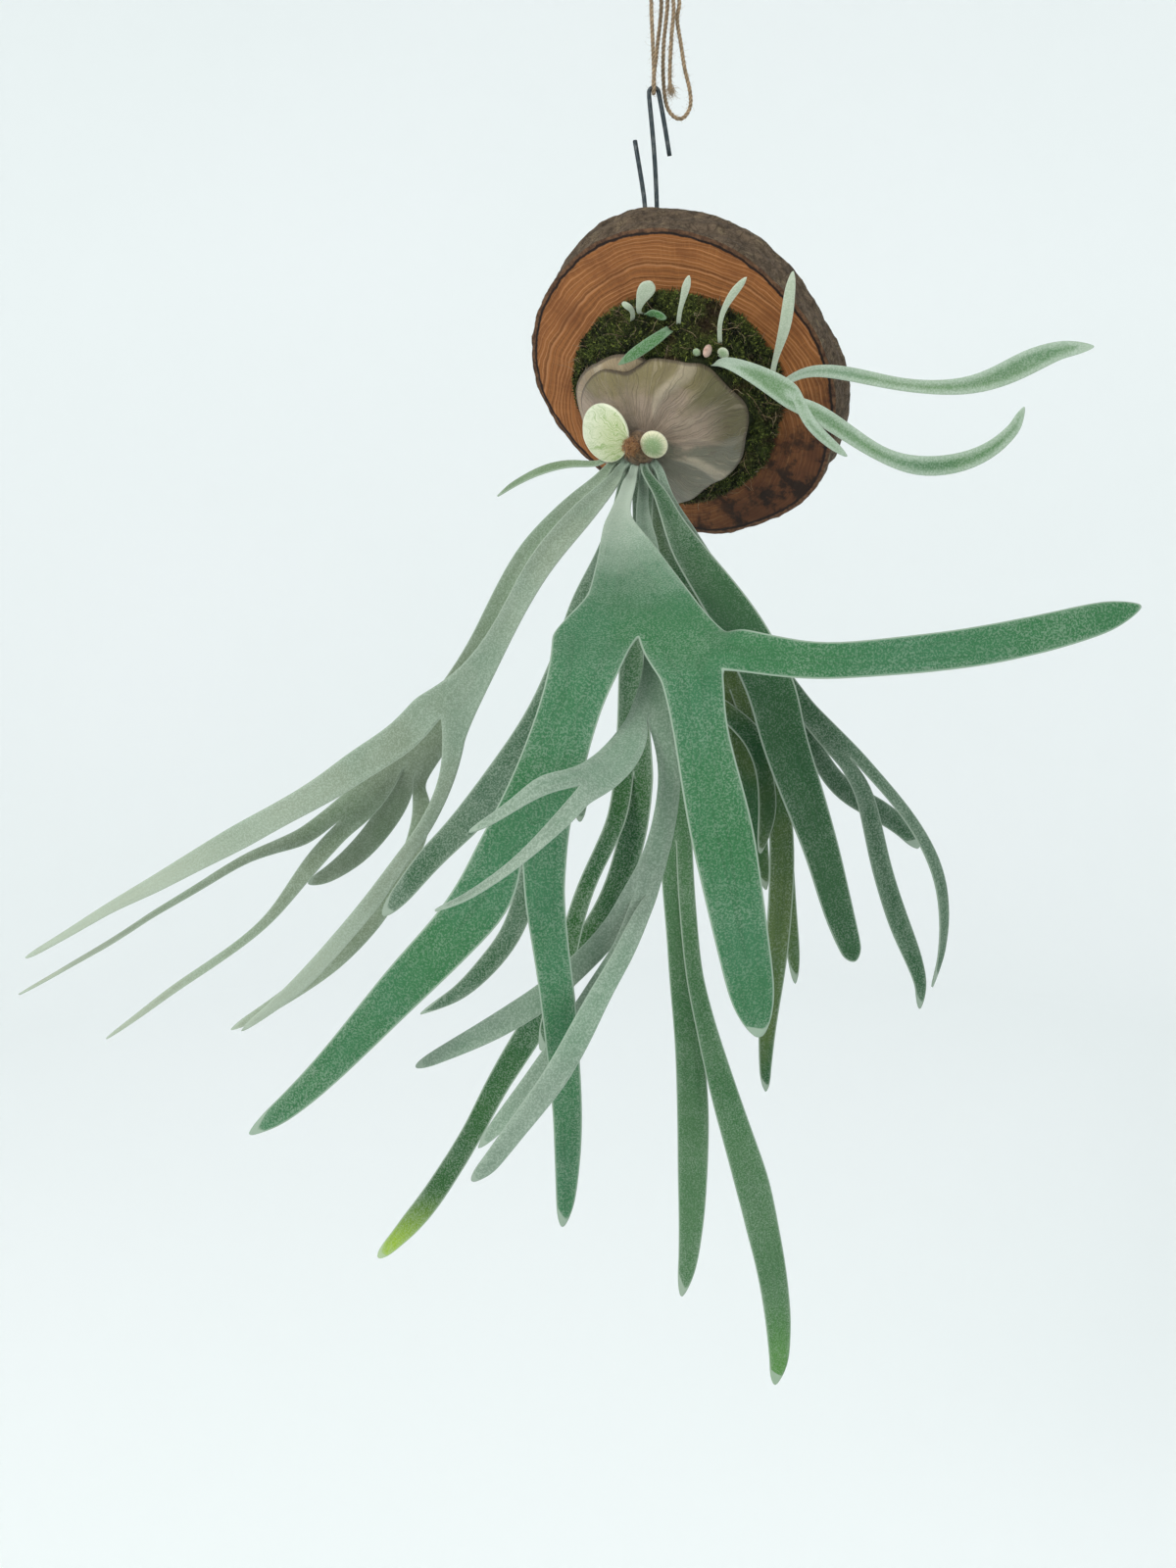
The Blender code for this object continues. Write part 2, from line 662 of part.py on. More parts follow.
    make_frond("frond_right", 305, 46, Branch(
        [(3, -64, -226, 8), (9, -92, -240, 12), (16, -117, -253, 19), (27, -145, -268, 23), (38, -165, -283, 26),
         (47, -181, -298, 27), (56, -194, -316, 27), (63, -205, -345, 25), (73, -210, -372, 23), (82, -211, -396, 20),
         (94, -210, -436, 17), (101, -208, -455, 13), (104, -207, -463, 7)],
        face=(0.35, -1, 0.1), cup=0.05), cup=0.6)

    make_frond("frond_right_back", 318, 12, Branch(
        [(8, -48, -230, 6), (16, -68, -243, 9), (28, -87, -263, 11), (45, -104, -289, 13), (63, -121, -317, 14),
         (80, -136, -341, 17)],
        face=(0.35, -1, 0.2), cup=0.2,
        kids=(
            Branch([(88, -136, -362, 10), (98, -133, -380, 12), (111, -130, -393, 13), (129, -127, -402, 13),
                    (144, -124, -414, 11), (154, -121, -427, 6)], face=(0.1, -1, 0.4)),
            Branch([(97, -150, -356, 15), (106, -155, -365, 15)], face=(0.3, -1, 0.2), kids=(
                Branch([(115, -158, -385, 11), (121, -162, -413, 12), (126, -163, -431, 12), (136, -163, -459, 13),
                        (145, -162, -478, 11), (151, -160, -495, 8), (151, -160, -511, 4)], face=(0.4, -1, 0)),
                Branch([(123, -158, -378, 7), (137, -160, -394, 7), (149, -162, -412, 8), (158, -162, -432, 9),
                        (162, -161, -455, 9), (162, -159, -477, 7), (158, -157, -499, 4)],
                       face=(0.8, -0.7, 0.2)))),
        )), cup=0.5)

    make_frond("frond_back_right", 300, -8, Branch(
        [(2, -55, -250, 7), (8, -78, -264, 12), (19, -110, -284, 20), (31, -138, -305, 26), (39, -156, -326, 33)],
        face=(0.1, -1, 0.3), cup=0.2,
        kids=(
            Branch([(50, -178, -346, 13), (55, -188, -362, 9), (57, -193, -382, 12), (55, -194, -395, 9),
                    (53, -194, -407, 4)], face=(0.6, -0.8, 0)),
            Branch([(49, -158, -365, 14), (54, -154, -396, 13), (59, -152, -425, 9), (62, -152, -442, 4)]),
            Branch([(60, -172, -364, 13), (66, -176, -390, 13), (67, -179, -417, 14), (66, -180, -462, 13),
                    (64, -178, -486, 13), (62, -176, -516, 10), (62, -174, -541, 7), (63, -173, -556, 4)],
                   face=(0, -1, 0)),
            Branch([(66, -154, -372, 11), (71, -148, -410, 10), (77, -144, -462, 9), (80, -143, -482, 8),
                    (82, -142, -503, 4)]),
        )), cup=0.4)

    make_frond("frond_back_left", 232, 4, Branch(
        [(-21, -60, -238, 6), (-29, -84, -262, 11), (-40, -108, -285, 16), (-48, -128, -312, 20)],
        face=(-0.1, -1, 0.2), cup=0.1,
        kids=(
            Branch([(-66, -142, -348, 18), (-82, -151, -371, 19), (-101, -157, -395, 18), (-114, -162, -408, 15),
                    (-127, -166, -420, 14), (-139, -170, -435, 12), (-152, -172, -450, 7)], face=(-0.3, -1, 0.2)),
            Branch([(-58, -143, -350, 13), (-61, -150, -381, 13), (-67, -160, -412, 13), (-74, -166, -444, 13),
                    (-82, -167, -465, 12), (-95, -166, -482, 12), (-110, -163, -499, 9), (-135, -158, -515, 3)],
                   face=(-0.2, -1, 0.1)),
            Branch([(-47, -138, -352, 11), (-44, -144, -372, 10), (-43, -147, -389, 9), (-43, -148, -403, 5)]),
        )), cup=0.5)

    make_frond("frond_long_left", 250, -10, Branch(
        [(-8, -54, -252, 7), (-10, -85, -270, 10), (-13, -125, -294, 12), (-15, -152, -318, 14),
         (-14, -168, -340, 17), (-14, -180, -367, 21)],
        face=(0, -1, 0.1), cup=0.35,
        kids=(
            Branch([(-25, -202, -392, 10), (-38, -209, -415, 9), (-46, -211, -440, 10), (-52, -209, -473, 10),
                    (-59, -207, -497, 10), (-64, -205, -516, 5)]),
            Branch([(-15, -190, -400, 15), (-22, -193, -426, 14), (-32, -194, -446, 14), (-44, -194, -465, 14),
                    (-60, -191, -493, 15), (-76, -187, -522, 15), (-91, -182, -550, 13), (-106, -176, -583, 12),
                    (-126, -168, -620, 13), (-143, -161, -647, 13), (-165, -154, -675, 6)], face=(-0.3, -1, 0.1)),
        )), cup=0.5)

    make_frond("frond_long_right", 276, -16, Branch(
        [(-2, -44, -254, 7), (3, -70, -286, 10), (7, -96, -336, 13), (10, -110, -385, 15), (13, -116, -425, 19)],
        face=(0, -1, 0.1), cup=0.1,
        kids=(
            Branch([(11, -117, -452, 12), (15, -115, -480, 14), (18, -112, -513, 15), (23, -108, -553, 17),
                    (27, -102, -603, 20), (28, -96, -652, 19), (28, -92, -689, 16), (27, -89, -717, 13),
                    (23, -86, -747, 6)], face=(-0.2, -1, 0)),
            Branch([(19, -119, -451, 10), (21, -121, -474, 10), (24, -121, -502, 10), (32, -119, -538, 12),
                    (45, -116, -586, 17), (64, -109, -649, 22), (72, -105, -683, 21), (80, -101, -719, 19),
                    (86, -97, -759, 17), (88, -94, -787, 14), (86, -92, -810, 7)], face=(0.2, -1, 0)),
        )), cup=0.5)

    make_frond("frond_young", 186, 2, Branch(
        [(-30, -31, -214, 4), (-47, -27, -212, 6), (-62, -24, -215, 8), (-74, -19, -220, 7), (-86, -12, -227, 6),
         (-95, -6, -234, 2)],
        face=(0, -0.6, 0.8), cup=0.0), cup=0.3, width=3.0, colour=(0.16, 0.28, 0.13))


# Pups -------------------------------------------------------------------------


def pup_seat(u, v, lean, lift):
    """A place just off the moss, and the way a leaf leaves it, on the board's axes."""
    return Vector((u, v, GAP + MOSS_RIM + moss_height(u, v) + lift)), Vector(lean).normalized()


def make_pup_leaf(name, axes, seat_at, lean, branch, face, width=3.0, colour=(0.30, 0.42, 0.28), cup=0.1, lift=1.0):
    """A small leaf on the board's axes that stands on the moss."""
    green = make_material(name, colour, 0.7)
    seat = pup_seat(*seat_at, lean, lift)
    return make_leaf(name, green, branch, seat, width, cup, face, axes, PUP_LEAF_THICK)


def make_pups(axes):
    """Three young plants along the top of the moss."""
    pale = (0.45, 0.55, 0.42)
    bright = (0.10, 0.30, 0.06)
    make_pup_leaf("pup_left_round", axes, (-16, 59.3), (0.4, 0.6, 1), Branch(
        [(-14, 64, 22, 2.5), (-10, 71, 25, 5), (-6, 76, 28, 9), (-2, 81, 30, 10), (1, 85, 31, 5)]), (0.2, -0.3, 1),
        colour=pale, lift=1.5)
    make_pup_leaf("pup_left_spoon", axes, (-21, 56), (0.1, 0.6, 1), Branch(
        [(-18, 63, 20, 2.5), (-18, 67, 24, 4), (-21, 71, 26, 4)]), (0.4, -0.2, 1), colour=pale)
    make_pup_leaf("pup_left_short", axes, (-12, 59.2), (0.4, 0.4, 1), Branch(
        [(-8, 61, 22, 4), (-4, 64, 24, 5), (0, 63, 26, 6), (5, 61, 26, 3)]), (0.2, -0.2, 1), lift=1.3)
    make_pup_leaf("pup_left_upright", axes, (9, 55), (0.4, 0.6, 1), Branch(
        [(13, 65, 24, 2.5), (17, 72, 27, 3), (21, 80, 30, 5), (25, 88, 32, 3)]), (0.4, -0.2, 1), 2.6, pale, lift=0.8)
    make_pup_leaf("pup_left_green", axes, (6, 52.2), (0.3, 0.1, 1), Branch(
        [(6, 55, 28, 5), (-2, 51, 34, 7), (-12, 46, 39, 7), (-23, 40, 42, 2)]), (0.3, 0.3, 1), 3.0, bright)
    make_pup_leaf("pup_middle_upright", axes, (33, 43), (0.4, 0.8, 0.8), Branch(
        [(37, 57, 28, 2.5), (43, 69, 33, 3), (52, 80, 37, 5), (61, 89, 39, 3)]), (0.3, -0.2, 1), 2.6, pale)
    make_pup_leaf("pup_middle_frond", axes, (30, 34), (0.3, 0.1, 1), Branch(
        [(41, 41, 39, 6), (57, 39, 46, 10), (75, 34, 54, 14), (86, 29, 58, 15)],
        face=(0.2, 0.1, 1), kids=(
            Branch([(103, 21, 63, 11), (125, 6, 66, 9), (139, -3, 66, 8), (155, -9, 65, 11), (175, -9, 62, 11),
                    (193, -3, 58, 9), (205, 8, 54, 7), (210, 20, 50, 3)], face=(0.2, 0.5, 0.9)),
            Branch([(97, 16, 65, 7), (107, 7, 67, 6), (118, -2, 68, 3)], face=(0.3, 0.2, 1)))),
        (0.2, 0.3, 1), 4.0, (0.16, 0.36, 0.22), 0.35)
    make_pup_leaf("pup_right_upright", axes, (58, 17), (0.3, 0.8, 0.8), Branch(
        [(66, 35, 21, 3), (74, 50, 28, 6), (80, 65, 34, 7), (84, 79, 38, 6), (88, 92, 40, 3)]),
        (0.3, -0.2, 1), 3.0, pale)
    make_pup_leaf("pup_right_frond", axes, (56.8, 9), (0.8, 0.2, 0.7), Branch(
        [(74, 21, 14, 5), (90, 27, 20, 7), (111, 26, 24, 8), (131, 22, 26, 7), (150, 19, 26, 7), (173, 18, 24, 9),
         (191, 23, 22, 12), (206, 30, 18, 14), (221, 35, 14, 10), (239, 35, 10, 4)]), (0.2, 0.5, 0.9), 3.5,
        (0.20, 0.38, 0.22), 0.3, 0.6)
    stem = make_material("pup_stem", (0.45, 0.28, 0.24), 0.95)
    make_ellipsoid("pup_middle_stem", (28.0, 42.0, moss_height(28, 42) + 7.5), (2.2, 3.4, 5.4), stem, axes, 8, 12)
    pup_shields = (("pup_shield_left", 21.5, 41.5, 2.6), ("pup_shield_right", 35.5, 38.5, 3.8))
    for name, u, v, radius in pup_shields:
        young = make_material(name, (0.40, 0.48, 0.36), 0.7)
        height = moss_height(u, v) + GAP + MOSS_RIM + MOSS_BUMP + 1.4
        make_ellipsoid(name, (u, v, height), (radius, radius, 1.2), young, axes, 6, 14)


# Wire and twine ---------------------------------------------------------------


def make_rod(name, points, radius, material, step=None, resolution=2, before=None, parent=None):
    """A round rod or cord along a smooth curve through its points."""
    places = [Vector(p) for p in points]
    lead = Vector(before) if before else 2 * places[0] - places[1]
    path = [p for p, _ in smooth_path(lead, places, step or 4 * radius)]
    curve = bpy.data.curves.new(name, "CURVE")
    curve.dimensions = "3D"
    curve.bevel_depth = radius * MM
    curve.bevel_resolution = resolution
    curve.use_fill_caps = True
    spline = curve.splines.new("POLY")
    spline.points.add(len(path) - 1)
    for place, point in zip(path, spline.points):
        point.co = (*(place * MM), 1.0)
    curve.materials.append(material)
    thing = bpy.data.objects.new(name, curve)
    bpy.context.scene.collection.objects.link(thing)
    thing.parent = parent
    return thing


def bend(centre_x, centre_z, radius, start, end, count):
    """Points round an arc in the hook's plane, its angles in degrees."""
    points = []
    for k in range(count + 1):
        angle = math.radians(start + (end - start) * k / count)
        points.append((centre_x + radius * math.cos(angle), 0.0, centre_z + radius * math.sin(angle)))
    return points


def make_hook(metal):
    """The S-hook: the twine bears under its top bend, the staple sits in its low bend."""
    top = bend(0.0, WIRE_RADIUS - HOOK_BEND, HOOK_BEND, 0, 180, 6)
    low = bend(-0.3, HOOK_LOW + LOW_BEND, LOW_BEND, 0, -180, 6)
    right_leg = [(9.8, 0, -36), (6.5, 0, -18)]
    main_leg = [(-1.2, 0, -16), (1.2, 0, -40), (2.6, 0, -64)]
    free_leg = [(-4.2, 0, -64), (-10.9, 0, -27)]
    return make_rod("hook", right_leg + top + main_leg + low + free_leg, WIRE_RADIUS, metal, 12.0, 2)


def make_staple(metal, axes):
    """A square wire staple in the back of the board, one leg above the other."""
    u = STAPLE_AT[0]
    high, low = staple_heights()
    deep = -BOARD_THICK + STAPLE_DEEP
    out = -BOARD_THICK - STAPLE_PROUD
    points = (
        (u, high, deep), (u, high, out + 3), (u, high - 0.6, out + 0.8), (u, high - 3, out),
        (u, low + 3, out), (u, low + 0.6, out + 0.8), (u, low, out + 3), (u, low, deep),
    )
    return make_rod("staple", points, STAPLE_RADIUS, metal, 5.0, 2, parent=axes)


def make_twine():
    """Jute twine: the loop that bears on the hook, a slack strand and a cut tail, tied in a knot above."""
    jute = make_material("jute", (0.42, 0.29, 0.16), 0.95)
    under = -TWINE_RADIUS - GAP
    side = 4.4
    top = KNOT_HIGH - 7.0
    step = 6 * TWINE_RADIUS
    make_rod("twine_loop", (
        (0.2, -0.6, top + 1), (-2, -3, 60), (-2, -4, 44), (-1, -5, 24), (0, -side, 6),
        (0, -side + 0.8, 2.0), (0, -2.2, under + 0.6), (0, 0, under), (0, 2.2, under + 0.6),
        (0, side - 0.8, 2.0), (0, side, 6), (2, 5, 24), (4, 4, 44), (3.4, 3, 60), (2.4, 1.8, top + 1),
    ), TWINE_RADIUS, jute, step)
    make_rod("twine_slack", (
        (5.0, -1.8, top + 2.2), (7.5, 1, 48), (5.5, 1, 24), (5.8, 4.5, 6), (8.0, 3.5, -8),
        (13, 2, -14.5), (18, 1, -14.5), (21.6, 1, -8.5), (21.2, 1, 0), (18, 1, 12),
        (15.5, 0, 25), (13.2, 0, 38), (14, 0, 50), (6.4, 1.8, top + 3.4),
    ), TWINE_RADIUS, jute, step)
    make_rod("twine_tail", ((2.6, -4.0, top + 2.8), (10.5, -3, 48), (9.8, -3, 27), (9.2, -2, 9), (9.8, -2, 0)),
             TWINE_RADIUS, jute, step)
    make_ellipsoid("twine_knot", (1.5, 0.0, KNOT_HIGH), KNOT_RADII, jute, None, 8, 14)


def main():
    clear_scene()
    axes = board_axes()
    make_board(axes)
    make_moss(axes)
    make_under_shield(axes)
    make_old_shield(axes)
    make_crown(axes)
    make_bud(axes)
    yellow_green = (0.62, 0.70, 0.42)
    cream = (0.62, 0.68, 0.45)
    make_new_shield(axes, "shield_oval", OVAL_SHIELD_CENTRE, OVAL_SHIELD_RADII, yellow_green, 7.8, (2.0, -3.0))
    make_new_shield(axes, "shield_round", ROUND_SHIELD_CENTRE, ROUND_SHIELD_RADII, cream, 9.0, (-1.0, 0))
    make_fronds()
    make_pups(axes)
    metal = make_material("dark_wire", (0.08, 0.08, 0.09), 0.5, 0.8)
    make_hook(metal)
    make_staple(metal, axes)
    make_twine()
    bpy.context.view_layer.update()


main()
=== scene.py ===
"""A mounted staghorn fern: its board, wire, twine, shields, moss, fronds and young plants."""

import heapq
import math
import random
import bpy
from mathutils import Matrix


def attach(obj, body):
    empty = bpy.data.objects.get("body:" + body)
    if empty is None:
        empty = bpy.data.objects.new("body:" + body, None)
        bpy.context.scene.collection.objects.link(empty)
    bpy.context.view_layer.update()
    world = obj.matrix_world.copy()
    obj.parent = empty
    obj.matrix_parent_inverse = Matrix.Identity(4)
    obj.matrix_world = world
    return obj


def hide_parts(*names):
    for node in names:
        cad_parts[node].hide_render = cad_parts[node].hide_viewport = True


bl_info = {
    "name": "Mounted staghorn fern",
    "version": (1, 0, 0),
    "blender": (4, 5, 0),
    "location": "View3D > Sidebar > Fern",
    "description": "Builds a staghorn fern on a round wood slice that hangs from a hook and twine",
    "category": "Object",
}

import bpy
from mathutils import Matrix, Vector
from mathutils.bvhtree import BVHTree
from mathutils.kdtree import KDTree

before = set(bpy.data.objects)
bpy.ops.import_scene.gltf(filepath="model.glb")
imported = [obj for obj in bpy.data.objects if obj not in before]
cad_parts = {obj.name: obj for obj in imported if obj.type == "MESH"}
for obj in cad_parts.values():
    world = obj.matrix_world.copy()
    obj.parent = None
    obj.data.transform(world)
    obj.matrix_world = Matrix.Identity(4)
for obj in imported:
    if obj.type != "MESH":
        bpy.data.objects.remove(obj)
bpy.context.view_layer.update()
MM = 0.001

# The board's own axes: u to the right, v up its face, h out of it.
BOARD_CENTRE = Vector((0.023, -0.006, -0.174))
BOARD_TURNS = (math.radians(115), 0.0, math.radians(-25))
BOARD = Matrix.Translation(BOARD_CENTRE) @ (
    Matrix.Rotation(BOARD_TURNS[2], 4, "Z") @ Matrix.Rotation(BOARD_TURNS[0], 4, "X"))
TO_BOARD = BOARD.inverted()
OUT = BOARD.to_3x3() @ Vector((0, 0, 1))
# The growing point, the crown and the round shield's middle, on those axes in mm.
BUD_PLACE = (-14.0, -1.5, 62.9)
CROWN_PLACE = (-15.0, -9.0, 49.5)
ROUND_PLACE = (-1.6, -2.8)
# Folds of the dry shields: angle round the crown and half width in degrees, height in mm.
OLD_FOLDS = ((58, 6, 2.6), (118, 9, 0.7), (1, 4, 1.1), (-27, 6, 2.4), (-62, 9, 0.9))
UNDER_FOLDS = ((106, 5, 1.0), (129, 5, 2.4), (160, 8, 1.0), (200, 8, 1.0))
# The twine's radius and the height where its strands go into the knot, in mm.
TWINE_RADIUS = 1.1
TWINE_TOP = 71.0
# Loose triangles are merged within this gap in metres, and paired up to these angles.
MERGE_GAP = 0.00003
PAIR_BEND = math.radians(50)
PAIR_SHAPE = math.radians(60)
# A leaf sheet's margin edges are sharper than this, and its folds are not.
LEAF_RIM = math.radians(74)
SHIELD_RIM = math.radians(70)
WIRE_RIM = math.radians(65)
# How crisp a rim stays when its piece is smoothed, from 0 to 1.
LEAF_CREASE = 0.55
SHIELD_CREASE = 0.8
WIRE_CREASE = 0.9
# The two sides of a leaf are nearer to each other than this, in metres.
SHEET_GAP = 0.0024
# How far the two sides are drawn together at the rim, as a share of their gap.
RIM_PINCH = 0.55
# How far a frond's surface waves to and fro, in metres.
LEAF_WAVE = 0.0012
UP_AND_FRONT = Vector((0, -0.8, 0.6))


# What a user may change -------------------------------------------------------


def colour_choice(name, description, default):
    return bpy.props.FloatVectorProperty(name=name, description=description, subtype="COLOR", size=3,
                                         min=0.0, max=1.0, default=default)


class FernLooks(bpy.types.PropertyGroup):
    """Colours and finishes of the plant."""

    frond_green: colour_choice("Frond green", "Upper side of a mature frond, without its hairs",
                               (0.028, 0.140, 0.048))
    deep_green: colour_choice("Deep green", "Shaded, nearly hairless fronds at the back of the plant",
                              (0.014, 0.080, 0.024))
    felt: colour_choice("Felt", "The white star-shaped hairs that frost leaves and stalks",
                        (0.42, 0.50, 0.41))
    tip_green: colour_choice("Tip green", "Fresh growth at the ends of the long fronds", (0.30, 0.46, 0.03))
    bark: colour_choice("Bark", "Bark round the wood slice", (0.140, 0.100, 0.066))
    wood: colour_choice("Wood", "Sawn end grain of the slice", (0.34, 0.128, 0.038))
    jute: colour_choice("Jute", "Twine that the hook hangs from", (0.44, 0.31, 0.18))


class FernSizes(bpy.types.PropertyGroup):
    """Sizes and counts of the small parts."""

    smoothness: bpy.props.IntProperty(
        name="Leaf smoothness", description="Subdivision levels on every leaf", min=1, max=3, default=2)
    moss_sprigs: bpy.props.IntProperty(
        name="Moss sprigs", description="Small sprigs that stand on the moss ball",
        min=100, max=6000, default=3600)
    moss_fibres: bpy.props.IntProperty(
        name="Moss fibres", description="Pale dry fibres that lie in the moss", min=0, max=400, default=240)
    bud_hairs: bpy.props.IntProperty(
        name="Bud hairs", description="Rusty hairs on the growing point", min=20, max=1200, default=520)
    twine_pitch: bpy.props.FloatProperty(
        name="Twine pitch", description="Length of one full turn of the plies",
        subtype="DISTANCE", unit="LENGTH", min=0.003, max=0.03, default=0.0072)
    bark_relief: bpy.props.FloatProperty(
        name="Bark relief", description="How far the bark's ridges stand out",
        subtype="DISTANCE", unit="LENGTH", min=0.0, max=0.004, default=0.0022)


# Small helpers ----------------------------------------------------------------


def object_mode():
    bpy.ops.object.mode_set(mode="OBJECT")


def edit_mode():
    bpy.ops.object.mode_set(mode="EDIT")


def deselect():
    if bpy.context.object and bpy.context.object.mode != "OBJECT":
        object_mode()
    bpy.ops.object.select_all(action="DESELECT")


def take(thing):
    """Makes one object the selected and active one."""
    deselect()
    thing.select_set(True)
    bpy.context.view_layer.objects.active = thing


def edit_all(thing):
    """Puts one object in edit mode with all of it selected."""
    take(thing)
    edit_mode()
    bpy.ops.mesh.select_all(action="SELECT")


def apply_modifier(thing, kind, **settings):
    take(thing)
    made = thing.modifiers.new(kind.lower(), kind)
    for key, value in settings.items():
        setattr(made, key, value)
    bpy.ops.object.modifier_apply(modifier=made.name)


def subdivide(thing, levels):
    apply_modifier(thing, "SUBSURF", levels=levels, render_levels=levels)


def clouds(name, size, depth=2):
    texture = bpy.data.textures.new(name, "CLOUDS")
    texture.noise_scale = size
    texture.noise_depth = depth
    return texture


def cad_copy(node, name):
    """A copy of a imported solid, its loose triangles merged and paired into four-sided faces."""
    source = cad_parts[node]
    thing = bpy.data.objects.new(name, source.data.copy())
    bpy.context.scene.collection.objects.link(thing)
    thing.data.materials.clear()
    edit_all(thing)
    bpy.ops.mesh.remove_doubles(threshold=MERGE_GAP)
    bpy.ops.mesh.tris_convert_to_quads(face_threshold=PAIR_BEND, shape_threshold=PAIR_SHAPE)
    object_mode()
    return thing


def finish_piece(thing, material, nodes=(), smooth=math.radians(60)):
    """Gives a piece its material and shading, hangs it from the root, and hides the imported solids it
    stands for.
    """
    if not thing.data.materials:
        thing.data.materials.append(material)
    take(thing)
    bpy.ops.object.shade_smooth_by_angle(angle=smooth)
    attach(thing, "root")
    if nodes:
        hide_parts(*nodes)
    return thing


def number_attribute(mesh, name, values):
    layer = mesh.attributes.new(name, "FLOAT", "POINT")
    layer.data.foreach_set("value", values)


def crease_edges(mesh, edges, share):
    """Keeps the given edges crisp when the piece is smoothed."""
    crease = mesh.attributes.new("crease_edge", "FLOAT", "EDGE")
    for edge in mesh.edges:
        crease.data[edge.index].value = share if tuple(sorted(edge.vertices)) in edges else 0.0


def mesh_piece(name, verts, faces):
    mesh = bpy.data.meshes.new(name)
    mesh.from_pydata([tuple(v) for v in verts], [], faces)
    mesh.update()
    thing = bpy.data.objects.new(name, mesh)
    bpy.context.scene.collection.objects.link(thing)
    return thing


def smooth_route(points, step):
    """Even points on a smooth curve through the given ones, in metres."""
    spots = [Vector(p) * MM for p in points]
    run = [2 * spots[0] - spots[1]] + spots + [2 * spots[-1] - spots[-2]]
    route = []
    for i in range(len(spots) - 1):
        a, b, c, d = run[i:i + 4]
        count = max(1, round((c - b).length / step))
        for k in range(count):
            t = k / count
            route.append(0.5 * (2 * b + (c - a) * t + (2 * a - 5 * b + 4 * c - d) * t * t
                                + (3 * b - a - 3 * c + d) * t ** 3))
    route.append(spots[-1])
    return route


# Materials --------------------------------------------------------------------


